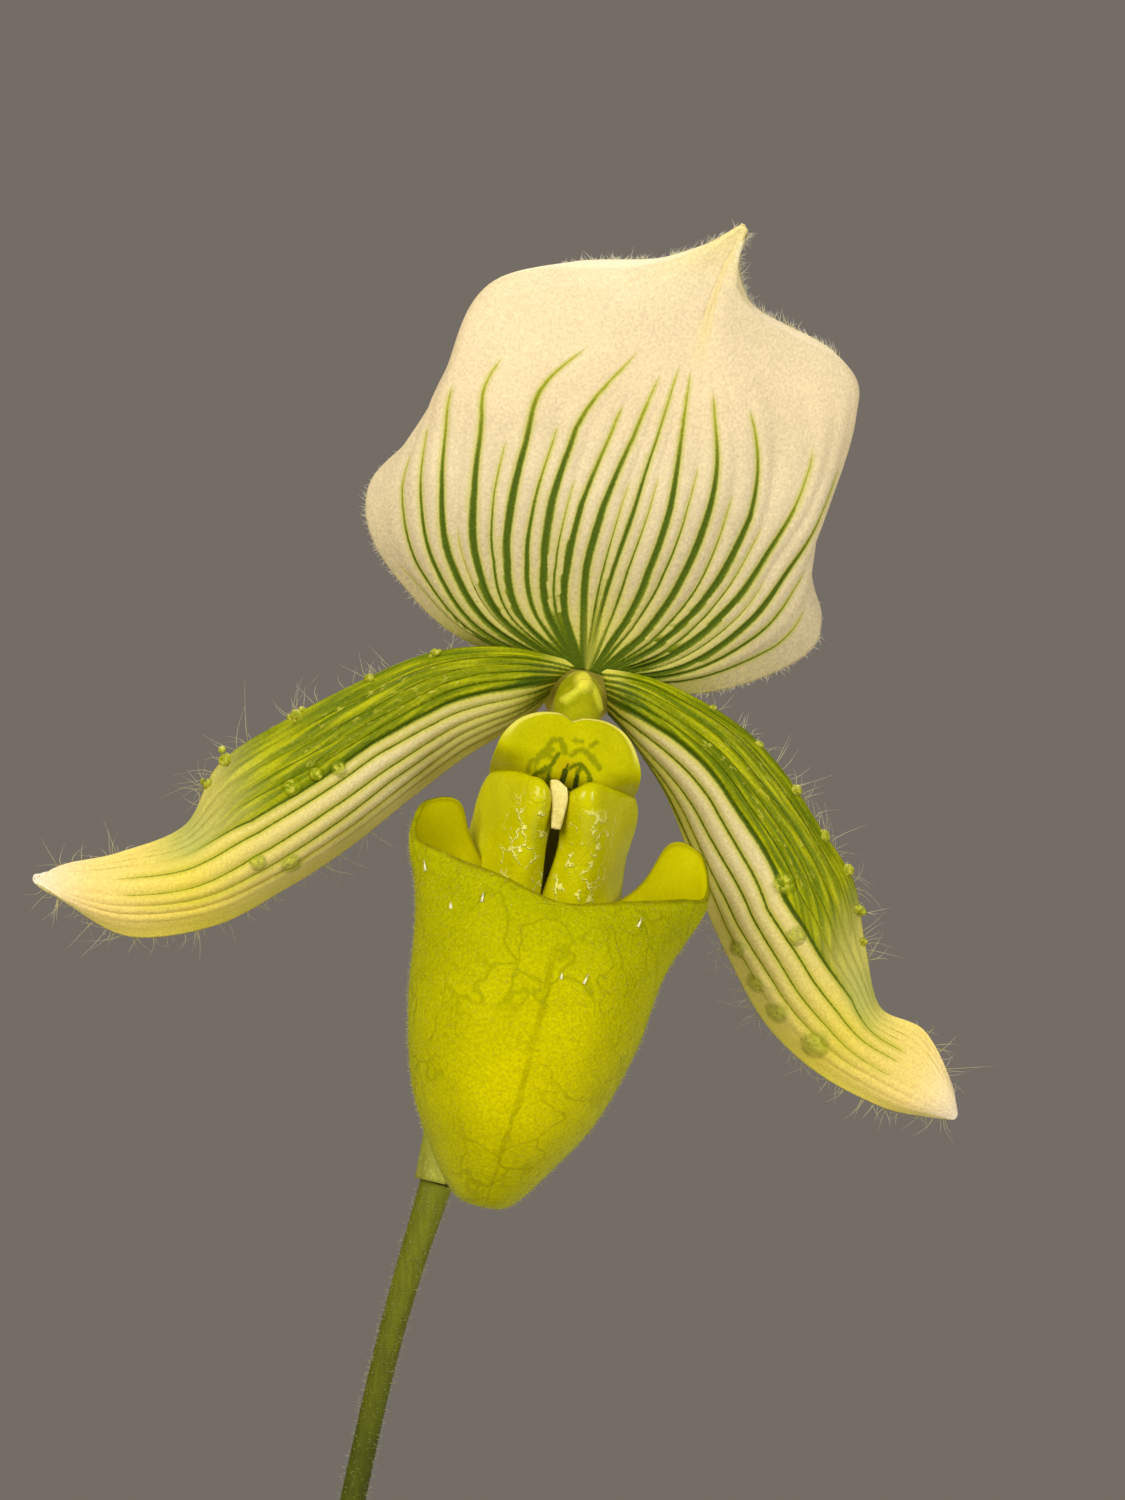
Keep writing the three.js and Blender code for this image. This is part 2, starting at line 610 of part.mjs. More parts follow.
// Lip: a hollow pouch whose side lobes fold in over its mouth and narrow to a claw under the column
const LIP_CENTRE = -0.7;
const pouchLevels = [
  { z: -54.8, middle: -1, half: 0.9, front: -20.6, back: -18.8 },
  { z: -54, middle: -1.2, half: 3.1, front: -23, back: -15.6 },
  { z: -50, middle: -1.3, half: 6.1, front: -26.2, back: -11.4 },
  { z: -44, middle: -1.15, half: 9.5, front: -28.6, back: -8.6 },
  { z: -36, middle: -0.9, half: 11.8, front: -29.6, back: -6.2 },
  { z: -28.5, middle: -0.7, half: 12.9, front: -28, back: -4.4 },
];
// Each column climbs from the toe to the lip's free edge; angles are counted from the front.
// The two sides of the mouth differ a little: `right` gives the right one where it does.
const lipColumns = [
  { angle: 0, left: [[0, -27.2, -25.4], [0, -26.4, -23.7], [0, -25.4, -22.4]] },
  { angle: 28, left: [[6.6, -25.2, -24.8], [6.7, -24.3, -22.9], [6.6, -23, -21]] },
  { angle: 54, left: [[11.4, -20.6, -24.2], [11.7, -19.8, -22], [11.8, -18.4, -20.2]],
    right: [[12.2, -20.6, -24.2], [12.6, -19.8, -21.9], [12.8, -18.6, -19.6]] },
  { angle: 78, left: [[13.7, -15.2, -24], [14.9, -14.4, -21], [15.4, -13.2, -18.6]],
    right: [[14.8, -14.8, -24], [16.2, -14, -20.8], [16.8, -12.8, -18.4]] },
  { angle: 96, left: [[13.4, -10.4, -23.4], [14.6, -10.2, -18.8], [14.2, -9.8, -15.2]],
    right: [[14.4, -10.4, -23.4], [15.6, -10.2, -18.2], [15.2, -9.6, -14.3]] },
  { angle: 108, left: [[12.4, -8.4, -23.4], [12.2, -8.4, -18.4], [10.9, -8.4, -14.7]],
    right: [[13, -8.4, -23.4], [13.2, -8.4, -18.4], [12.2, -8.4, -14.3]] },
  { angle: 119, left: [[10.6, -7.4, -24.4], [9.8, -7.6, -20.8], [8.6, -7.6, -18.4]],
    right: [[11.2, -7.4, -25], [10.6, -7.6, -22], [10, -7.6, -19.6]] },
  { angle: 136, left: [[8.4, -5.6, -23.4], [4.5, -12, -24.6], [1.2, -10.4, -26.6]],
    right: [[9, -5.6, -23.4], [4.6, -12, -24.6], [0.5, -10.4, -26.6]] },
  { angle: 154, left: [[8.3, -4.2, -17], [4.2, -12.8, -16.6], [1.3, -11.2, -17.2]],
    right: [[8.2, -4.2, -17], [3.8, -12.8, -16.6], [0.3, -11.2, -17.2]] },
  { angle: 166, left: [[7.8, -4.6, -12.4], [4.2, -12.4, -11.4], [2.1, -11.8, -12.4]],
    right: [[8, -4.6, -12], [3, -12.4, -10.6], [0.3, -11.8, -11.6]] },
  { angle: 173, left: [[5.8, -2.4, -12.8], [6, -6.4, -12.2], [4.2, -9.2, -12.8]],
    right: [[5.8, -2.4, -12.6], [5.8, -6.4, -11.8], [4, -9.2, -12.4]] },
  { angle: 180, left: [[0, -1.6, -16.2], [0, 0, -10], [0, 2.1, -4.6]] },
];

function lipColumn(column, side) {
  const turn = radians(column.angle);
  const low = pouchLevels.map((level) => [
    level.middle + side * level.half * Math.sin(turn),
    (level.front + level.back) / 2 - ((level.back - level.front) / 2) * Math.cos(turn),
    level.z,
  ]);
  const top = side > 0 && column.right ? column.right : column.left;
  return [...low, ...top.map(([x, y, z]) => [LIP_CENTRE + side * x, y, z])];
}

function lipStation(column, side) {
  return { at: (side * column.angle) / 180, net: lipColumn(column, side) };
}

// The columns run once round the lip, with three repeated at either end so that the seam is smooth
const lipRound = [
  ...[...lipColumns].reverse().slice(0, -1).map((column) => lipStation(column, -1)),
  ...lipColumns.slice(0, -1).map((column) => lipStation(column, 1)),
];
const lipLoop = [
  ...lipRound.slice(-3).map(({ at, net }) => ({ at: at - 2, net })),
  ...lipRound,
  ...lipRound.slice(0, 3).map(({ at, net }) => ({ at: at + 2, net })),
];
const lipSheet = netSheet(lipLoop.map(({ net }) => net), lipLoop.map(({ at }) => at));
addPiece('lip', placeFlower(thicken(lipSheet, 34, 18, LIP_THICKNESS, true)), 0xb9b21c, 0.45);

// Column: a stout stalk with the staminode shield at its end, a tooth below it and two anthers behind
const SHIELD_MIDDLE = [-1.2, -12.6, -7];
const SHIELD_HALF = 8;
const shieldEdge = [
  [-9.2, -10.4], [-9.3, -8.6], [-8.9, -6.6], [-7.8, -4.8], [-5.9, -3.6], [-3.7, -3.2], [-2.1, -3.7],
  [-0.7, -3.1], [1.7, -3], [3.8, -3.8], [5.4, -5.6], [6.4, -8], [6.7, -10.6], [6, -11.9],
  [4.7, -10.6], [3, -9.2], [1.2, -8.8], [-0.1, -10], [-1.2, -11], [-2.5, -10.2], [-4.4, -9.4],
  [-6.2, -10.4], [-7.4, -12.2], [-8.7, -12.2],
];
const shieldLoop = [...shieldEdge.slice(-2), ...shieldEdge, ...shieldEdge.slice(0, 3)];
const shieldSteps = shieldLoop.map((_, i) => -1 + (2 * (i - 2)) / shieldEdge.length);

function shieldSheet(u, v) {
  const r = 0.1 + 0.9 * v;
  const [x, z] = splineAt(shieldSteps, shieldLoop, u).map((value, k) => {
    const middle = SHIELD_MIDDLE[k * 2];
    return middle + r * (value - middle);
  });
  const side = Math.abs(x - SHIELD_MIDDLE[0]) / SHIELD_HALF;
  const height = Math.max(0, z - SHIELD_MIDDLE[2]) / 3.8;
  return [x, SHIELD_MIDDLE[1] + 1.3 * side ** 2.2 + 0.4 * height ** 2, z];
}

const stalkCurve = curveThrough([
  [-0.3, 2.5, -0.9], [-0.6, -1, -0.7], [-1, -5, -2], [-1.2, -10, -5.6], [-1.2, -12, -6.6],
]);
const stalkRadius = profileOf([[0, 1.8], [0.3, 2.5], [0.65, 2.4], [1, 1.6]]);
const toothCurve = curveThrough([[-1.2, -12.4, -9], [-1.35, -13.1, -11.6], [-1.4, -13.4, -14.4]]);
addPiece('column', placeFlower(unite([
  thicken(shieldSheet, 30, 5, SHIELD_THICKNESS, true),
  tubeAlong(stalkCurve, stalkRadius, 7, 12),
  tubeAlong(toothCurve, profileOf([[0, 1.1], [0.5, 0.75], [1, 0.3]]), 5, 8),
  knob([-3.4, -7, -5.2], [1.3, 1.5, 1.2]),
  knob([1.2, -7, -5.2], [1.3, 1.5, 1.2]),
])), 0xb8b532, 0.4);

export default part;
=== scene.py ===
import math

import bmesh
import bpy
import numpy as np
from mathutils import Euler, Matrix, Vector, noise


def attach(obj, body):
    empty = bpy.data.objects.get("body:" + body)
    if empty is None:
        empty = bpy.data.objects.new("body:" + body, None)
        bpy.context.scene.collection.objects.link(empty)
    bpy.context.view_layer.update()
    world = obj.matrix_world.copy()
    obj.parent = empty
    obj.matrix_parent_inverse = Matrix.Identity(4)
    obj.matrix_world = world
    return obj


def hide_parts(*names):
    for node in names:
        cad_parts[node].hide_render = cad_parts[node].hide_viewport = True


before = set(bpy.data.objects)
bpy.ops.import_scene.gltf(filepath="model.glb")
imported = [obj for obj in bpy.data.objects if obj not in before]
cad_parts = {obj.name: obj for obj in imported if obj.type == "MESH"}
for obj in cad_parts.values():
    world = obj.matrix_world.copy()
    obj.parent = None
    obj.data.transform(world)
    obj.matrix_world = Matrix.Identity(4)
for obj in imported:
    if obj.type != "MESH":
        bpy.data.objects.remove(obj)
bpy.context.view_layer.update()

MM = 0.001

# Pot, bark and crown, as in the CAD source
POT_HEIGHT = 95
POT_BASE_RADIUS = 38
POT_RIM_RADIUS = 55
POT_WALL = 4.5
POT_FLOOR = 6
RIM_BAND = 21
DRAIN_HOLES = 4
DRAIN_RADIUS = 4.5
DRAIN_CIRCLE = 20
BAND_FOOT = POT_HEIGHT - RIM_BAND
WALL_TOP = POT_RIM_RADIUS - 5
BARK_LEVEL = 84
BED_HUMPS = 1.2
BARK_CHIPS = 34
CHIP_SPREAD = 37
CHIP_TURN = 2.4
CHIP_SEED = 4711
CROWN = (-6, 1)
CROWN_RADIUS = 13
CROWN_TOP = 90
CROWN_DEPTH = 12
ROOT_COUNT = 5
ROOT_RADIUS = 2.1
ROOT_REACH = 8 / 9
CLEARANCE = 0.3

# Plant
LEAF_THICKNESS = 1.2
LEAF_WAVE = 0.7
FAN_TURN = 18
SCAPE_SOCKET = 3.5
FLOWER = np.array([32.0, -20.0, 345.0])
FLOWER_ROLL = math.radians(12.7)
FLOWER_YAW = math.radians(7)
SEPAL_THICKNESS = 0.8
DORSAL_FURROW = 0.12
DORSAL_CREASE = 0.13
SYNSEPAL_FURROW = 0.08
PETAL_THICKNESS = 0.8
PETAL_FURROW = 0.13
PETAL_WAVE = 0.5
PATCH_HEIGHT = 0.3
LIP_THICKNESS = 0.9
SHIELD_THICKNESS = 1.1
BRACT_THICKNESS = 0.7
BRACT_GAP = 0.75
BRACT_FLARE = 1.4

# What only the scene has
CRUMBS = 150
WORN_EDGE = 0.5
TONE_SEED = 77

# Radii of the hairs at their roots
STEM_HAIR = 0.035
MARGIN_HAIR = 0.05
FINE_HAIR = 0.025

# How finely each sheet is laid, as squares across and along it
CROWN_GRID = (96, 40)
ROOT_GRID = (20, 60)
BED_GRID = (80, 90)
LEAF_GRID = (48, 130)
SCAPE_GRID = (32, 220)
OVARY_GRID = (60, 120)
BRACT_GRID = (60, 48)
DORSAL_GRID = (184, 158)
SYNSEPAL_GRID = (90, 110)
PETAL_GRID = (100, 250)
LIP_GRID = (224, 128)
SHIELD_GRID = (168, 60)
STALK_GRID = (96, 140)
TOOTH_GRID = (16, 32)

# How many rings carry a tube, and how many steps the pot takes round
STEM_RINGS = 60
SHORT_RINGS = 40
POT_STEPS = 112


# Curves and sheets. A sheet is a function of u, from -1 to 1 across, and v, from 0 to 1 along.

def unit(vectors):
    return vectors / np.maximum(np.linalg.norm(vectors, axis=-1, keepdims=True), 1e-12)


def smooth_step(values, start, end):
    t = np.clip((values - start) / (end - start), 0, 1)
    return t * t * (3 - 2 * t)


def bell(values, middle, width):
    return np.exp(-((values - middle) / width) ** 2)


def spline(stations, points, t):
    """Smooth curve through a few points. Points may also hold one set of values for each t."""
    stations = np.asarray(stations, float)
    points = np.asarray(points, float)
    t = np.atleast_1d(np.asarray(t, float))
    if points.ndim == 2:
        points = np.repeat(points[:, None, :], len(t), axis=1)
    gaps = np.diff(stations)[:, None, None]
    chords = np.diff(points, axis=0) / gaps
    slopes = np.empty_like(points)
    if len(stations) == 2:
        slopes[:] = chords[0]
    else:
        slopes[1:-1] = (chords[:-1] * gaps[1:] + chords[1:] * gaps[:-1]) / (gaps[1:] + gaps[:-1])
        slopes[0] = 1.5 * chords[0] - 0.5 * slopes[1]
        slopes[-1] = 1.5 * chords[-1] - 0.5 * slopes[-2]
    i = np.clip(np.searchsorted(stations, t, side="right") - 1, 0, len(stations) - 2)
    n = np.arange(len(t))
    step = (stations[i + 1] - stations[i])[:, None]
    s = (t - stations[i])[:, None] / step
    a = points[i, n]
    b = points[i + 1, n]
    rise = slopes[i, n] * s * (1 - s) ** 2 * step
    fall = slopes[i + 1, n] * s * s * (s - 1) * step
    return a + (b - a) * s * s * (3 - 2 * s) + rise + fall


def curve_through(points):
    points = np.asarray(points, float)
    steps = np.linalg.norm(np.diff(points, axis=0), axis=1)
    lengths = np.concatenate([[0], np.cumsum(steps)])
    return lambda t: spline(lengths / lengths[-1], points, t)


def round_by(radius):
    """For a tube that is equally thick all round."""
    return lambda t, angle: radius(t)


def profile_of(pairs):
    stations = [pair[0] for pair in pairs]
    values = [[pair[1]] for pair in pairs]
    return lambda t: spline(stations, values, t)[:, 0]


def net_sheet(columns, across):
    along = np.linspace(0, 1, len(columns[0]))

    def sheet(u, v):
        rows = np.stack([spline(along, column, v) for column in columns])
        return spline(across, rows, u)

    return sheet


def slopes_of(sheet, u, v, step=0.004):
    right = sheet(u + step, v) - sheet(u - step, v)
    up = sheet(u, v + step) - sheet(u, v - step)
    return right / (2 * step), up / (2 * step)


def normal_of(sheet, u, v):
    right, up = slopes_of(sheet, u, v)
    return unit(np.cross(right, up))


def raised(sheet, relief):
    """The sheet with a relief, in millimetres along its normal."""
    return lambda u, v: sheet(u, v) + normal_of(sheet, u, v) * relief(u, v)[:, None]


def turn_matrix():
    c, s = math.cos(FLOWER_ROLL), math.sin(FLOWER_ROLL)
    roll = np.array([[c, 0, s], [0, 1, 0], [-s, 0, c]])
    c, s = math.cos(FLOWER_YAW), math.sin(FLOWER_YAW)
    yaw = np.array([[c, -s, 0], [s, c, 0], [0, 0, 1]])
    return roll @ yaw


FLOWER_TURN = turn_matrix()


def on_flower(points):
    """From the flower's own frame (X right, -Y to the viewer, Z up) to the pot's."""
    return np.asarray(points, float) @ FLOWER_TURN.T + FLOWER


def near_flower(x, y, z):
    return FLOWER + np.array([x, y, z])


def placed(sheet):
    return lambda u, v: on_flower(sheet(u, v))


def tube_sheet(curve, radius_at, rings, reach=1.0):
    """Round stem: u goes once round from -1 to 1, v along. Its ends close to a point."""
    t = np.linspace(0, reach, rings + 1)
    alongs = unit(curve(np.minimum(t + 0.01, 1)) - curve(np.maximum(t - 0.01, 0)))
    normals = []
    normal = np.array([1.0, 0, 0])
    for along in alongs:
        normal = unit(normal - along * normal.dot(along))
        normals.append(normal)
    normals = np.array(normals)
    others = np.cross(alongs, normals)

    def sheet(u, v):
        at = np.clip(v, 0, 1) * reach
        angle = math.pi * (u + 1)
        side = np.stack([np.interp(at, t, normals[:, k]) for k in range(3)], axis=1)
        other = np.stack([np.interp(at, t, others[:, k]) for k in range(3)], axis=1)
        radius = radius_at(at, angle) * ((v > 0) & (v < 1))
        spoke = side * np.cos(angle)[:, None] + other * np.sin(angle)[:, None]
        return curve(at) + spoke * radius[:, None]

    return sheet


def turned_sheet(profile, centre=(0, 0)):
    """Shape turned on a wheel: v runs along the profile of (radius, height) pairs."""
    profile = np.asarray(profile, float)
    steps = np.linalg.norm(np.diff(profile, axis=0), axis=1)
    lengths = np.concatenate([[0], np.cumsum(steps)])
    lengths /= lengths[-1]

    def sheet(u, v):
        radius = np.interp(v, lengths, profile[:, 0])
        height = np.interp(v, lengths, profile[:, 1])
        angle = math.pi * (u + 1)
        x = centre[0] + radius * np.cos(angle)
        y = centre[1] + radius * np.sin(angle)
        return np.stack([x, y, height], axis=1)

    return sheet


def stroke_distance(strokes, x, z):
    """Millimetres from the nearest stroke's edge, below zero inside it."""
    best = np.full(len(x), 9.0)
    points = np.stack([x, z], axis=1)
    for half, line in strokes:
        line = np.array(line, float)
        for start, end in zip(line, line[1:]):
            span = end - start
            t = np.clip((points - start) @ span / (span @ span), 0, 1)
            away = np.linalg.norm(points - start - t[:, None] * span, axis=1)
            best = np.minimum(best, away - half)
    return best


# Meshes

def read_points(mesh):
    flat = np.empty(len(mesh.vertices) * 3)
    mesh.vertices.foreach_get("co", flat)
    return flat.reshape(-1, 3)


def write_points(mesh, points):
    mesh.vertices.foreach_set("co", np.asarray(points, np.float32).ravel())
    mesh.update()


def mark(mesh, **marks):
    """Writes one number per point for a finish to read."""
    for name, values in marks.items():
        layer = mesh.attributes.get(name) or mesh.attributes.new(name, "FLOAT", "POINT")
        layer.data.foreach_set("value", np.ascontiguousarray(values, np.float32))


def read_mark(mesh, name):
    values = np.empty(len(mesh.vertices), np.float32)
    mesh.attributes[name].data.foreach_get("value", values)
    return values.astype(float)


def mesh_of(name, bm):
    mesh = bpy.data.meshes.new(name)
    bm.to_mesh(mesh)
    bm.free()
    return mesh


def sheet_mesh(name, sheet, grid, turned=False, ring=False):
    """A grid laid on a sheet. Turned: its other side is the front. Ring: u = -1 meets u = 1."""
    bm = bmesh.new()
    bmesh.ops.create_grid(bm, x_segments=grid[0], y_segments=grid[1], size=1)
    if turned:
        bmesh.ops.reverse_faces(bm, faces=bm.faces[:])
    mesh = mesh_of(name, bm)
    flat = read_points(mesh)
    u = flat[:, 0]
    v = (flat[:, 1] + 1) / 2
    mark(mesh, across=u, along=v)
    write_points(mesh, sheet(u, v) * MM)
    corners = np.empty(len(mesh.loops), np.int32)
    mesh.loops.foreach_get("vertex_index", corners)
    layer = mesh.uv_layers.new(name="lay")
    laid = np.stack([(u + 1) / 2, v], axis=1)[corners]
    layer.data.foreach_set("uv", laid.astype(np.float32).ravel())
    if ring:
        close_ring(mesh)
    return mesh


def close_ring(mesh):
    """Joins the two sides of a ring and fills a hole at its foot."""
    bm = bmesh.new()
    bm.from_mesh(mesh)
    bmesh.ops.remove_doubles(bm, verts=bm.verts[:], dist=0.002 * MM)
    along = bm.verts.layers.float["along"]
    rim = [edge for edge in bm.edges if edge.is_boundary]
    foot = [edge for edge in rim if all(vert[along] < 0.001 for vert in edge.verts)]
    if foot:
        bmesh.ops.holes_fill(bm, edges=foot, sides=0)
        caps = [face for face in bm.faces if len(face.verts) > 4]
        for face in caps:
            if not face.edges[0].is_contiguous:
                face.normal_flip()
        bmesh.ops.poke(bm, faces=caps)
    bm.to_mesh(mesh)
    bm.free()


def marks_of(mesh):
    return read_mark(mesh, "across"), read_mark(mesh, "along")


def new_object(name, data):
    thing = bpy.data.objects.new(name, data)
    bpy.context.scene.collection.objects.link(thing)
    return thing


def add_piece(name, mesh, finishes, replaces=()):
    piece = new_object(name, mesh)
    for finish in finishes:
        mesh.materials.append(finish.material)
    mesh.shade_smooth()
    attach(piece, "root")
    if replaces:
        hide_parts(*replaces)
    return piece


def add_sheet(name, sheet, grid, finishes, node, turned=False, ring=False):
    """A piece laid on a sheet in place of a CAD node, and the places of its points on the sheet."""
    mesh = sheet_mesh(name, sheet, grid, turned, ring)
    piece = add_piece(name, mesh, finishes, [node])
    return piece, *marks_of(mesh)


def thicken(piece, thickness, shares):
    """Gives a sheet its two faces. The second finish is for the back; shares thin it in places."""
    shell = piece.modifiers.new("thickness", "SOLIDIFY")
    shell.thickness = thickness * MM
    shell.offset = 0
    shell.use_quality_normals = True
    shell.material_offset = 1 if len(piece.data.materials) > 1 else 0
    group = piece.vertex_groups.new(name="thick")
    steps = np.round(np.clip(shares, 0, 1) * 40).astype(int)
    for step in np.unique(steps):
        group.add(np.flatnonzero(steps == step).tolist(), step / 40, "REPLACE")
    shell.vertex_group = "thick"


def evaluated_mesh(holder):
    graph = bpy.context.evaluated_depsgraph_get()
    return bpy.data.meshes.new_from_object(holder.evaluated_get(graph), depsgraph=graph)


def applied(piece):
    """Writes a piece's modifiers into its mesh."""
    mesh = evaluated_mesh(piece)
    old = piece.data
    piece.modifiers.clear()
    piece.data = mesh
    mesh.name = old.name
    bpy.data.meshes.remove(old)


def repeated(name, mesh, count):
    """The mesh over and over in one mesh, copy after copy."""
    holder = new_object(name, mesh)
    repeat = holder.modifiers.new("repeat", "ARRAY")
    repeat.count = count
    repeat.use_relative_offset = False
    result = evaluated_mesh(holder)
    bpy.data.objects.remove(holder)
    result.name = name
    return result


# Hairs

def hair_mesh(name, roots, ways, lengths, bends, radius, joints=()):
    """Tapered hairs: each leaves its root along its way and curls by its bend."""
    bm = bmesh.new()
    lift = Matrix.Translation((0, 0, 0.5))
    bmesh.ops.create_cone(bm, cap_ends=True, segments=3, radius1=1, radius2=0, depth=1, matrix=lift)
    bmesh.ops.remove_doubles(bm, verts=bm.verts[:], dist=1e-4)
    for height in joints:
        whole = bm.verts[:] + bm.edges[:] + bm.faces[:]
        bmesh.ops.bisect_plane(bm, geom=whole, plane_co=(0, 0, height), plane_no=(0, 0, 1))
    single = mesh_of(name + "_one", bm)
    shape = read_points(single)
    mesh = repeated(name, single, len(roots))
    steep = np.abs(ways[:, 2:3]) >= 0.8
    side = unit(np.cross(ways, np.where(steep, [[1.0, 0, 0]], [[0.0, 0, 1]])))
    other = np.cross(ways, side)
    x = shape[None, :, 0, None]
    y = shape[None, :, 1, None]
    t = shape[None, :, 2, None]
    reach = lengths[:, None, None]
    points = roots[:, None] + ways[:, None] * reach * t + bends[:, None] * reach * t * t
    points = points + (side[:, None] * x + other[:, None] * y) * radius
    write_points(mesh, points.reshape(-1, 3) * MM)
    mark(mesh, along=np.tile(shape[:, 2], len(roots)))
    return mesh


def scatter(sheet, count, seed, allow, v_range):
    """Evenly spread places on a sheet: each one's point, normal and way along."""
    chance = np.random.default_rng(seed)
    tries = count * 14
    u = chance.uniform(-1, 1, tries)
    v = chance.uniform(*v_range, tries)
    right, up = slopes_of(sheet, u, v)
    area = np.linalg.norm(np.cross(right, up), axis=1)
    keep = chance.uniform(0, np.percentile(area, 98), tries) < area
    if allow is not None:
        keep &= allow(u, v)
    pick = np.flatnonzero(keep)[:count]
    u, v = u[pick], v[pick]
    return sheet(u, v), normal_of(sheet, u, v), unit(up[pick])


def fuzz(name, sheet, finish, radius, count, seed, lengths, lift, v_range,
         lean=0.35, side=1, allow=None):
    """Short straight hairs all over a surface. Side -1 puts them on its back."""
    roots, normals, ups = scatter(sheet, count, seed, allow, v_range)
    chance = np.random.default_rng(seed + 1)
    stray = chance.normal(0, lean * 0.7, normals.shape)
    ways = unit(normals * side + stray + ups * lean)
    reach = chance.uniform(*lengths, len(roots))
    roots = roots + normals * side * lift
    mesh = hair_mesh(name, roots, ways, reach, ways * 0, radius)
    return add_piece(name, mesh, [finish])


def both_margins(*stretch):
    return [(margin, *stretch) for margin in (-1, 1)]


def fringe(name, sheet, finish, stretches, seed, radius=MARGIN_HAIR, curl=0.22):
    """Long bent hairs along the margins. A stretch is (margin, from, to, count, shortest, longest)."""
    chance = np.random.default_rng(seed)
    roots, ways, lengths, bends = [], [], [], []
    for margin, start, end, count, shortest, longest in stretches:
        u = np.full(count, float(margin))
        fine = np.linspace(start, end, 400)
        steps = np.linalg.norm(np.diff(sheet(np.full(400, float(margin)), fine), axis=0), axis=1)
        run = np.concatenate([[0], np.cumsum(steps)])
        v = np.interp(np.sort(chance.uniform(0, run[-1], count)), run, fine)
        right, up = slopes_of(sheet, u * 0.99, v)
        normal = unit(np.cross(right, up))
        forward = unit(up)
        outward = unit(right) * margin
        leaning = np.sum(outward * forward, axis=1, keepdims=True)
        outward = unit(outward - forward * leaning)
        drift = forward * chance.normal(0.1, 0.4, (count, 1))
        tilt = normal * chance.normal(0, 0.35, (count, 1))
        roots.append(sheet(u * 0.995, v) + normal * chance.uniform(-0.1, 0.1, (count, 1)))
        ways.append(unit(outward + drift + tilt))
        lengths.append(chance.uniform(shortest, longest, count))
        bends.append(chance.normal(0, curl, (count, 3)) + forward * chance.normal(0, curl, (count, 1)))
    parts = [np.concatenate(part) for part in (roots, ways, lengths, bends)]
    mesh = hair_mesh(name, *parts, radius, joints=(0.3, 0.55, 0.8))
    return add_piece(name, mesh, [finish])


# Finishes. Colours are display colours from 0 to 255, and pattern sizes are in millimetres.

def paint(red, green, blue):
    """A display colour as the linear colour that a shader takes."""
    def linear(value):
        value /= 255
        return value / 12.92 if value <= 0.04045 else ((value + 0.055) / 1.055) ** 2.4
    return (linear(red), linear(green), linear(blue), 1.0)


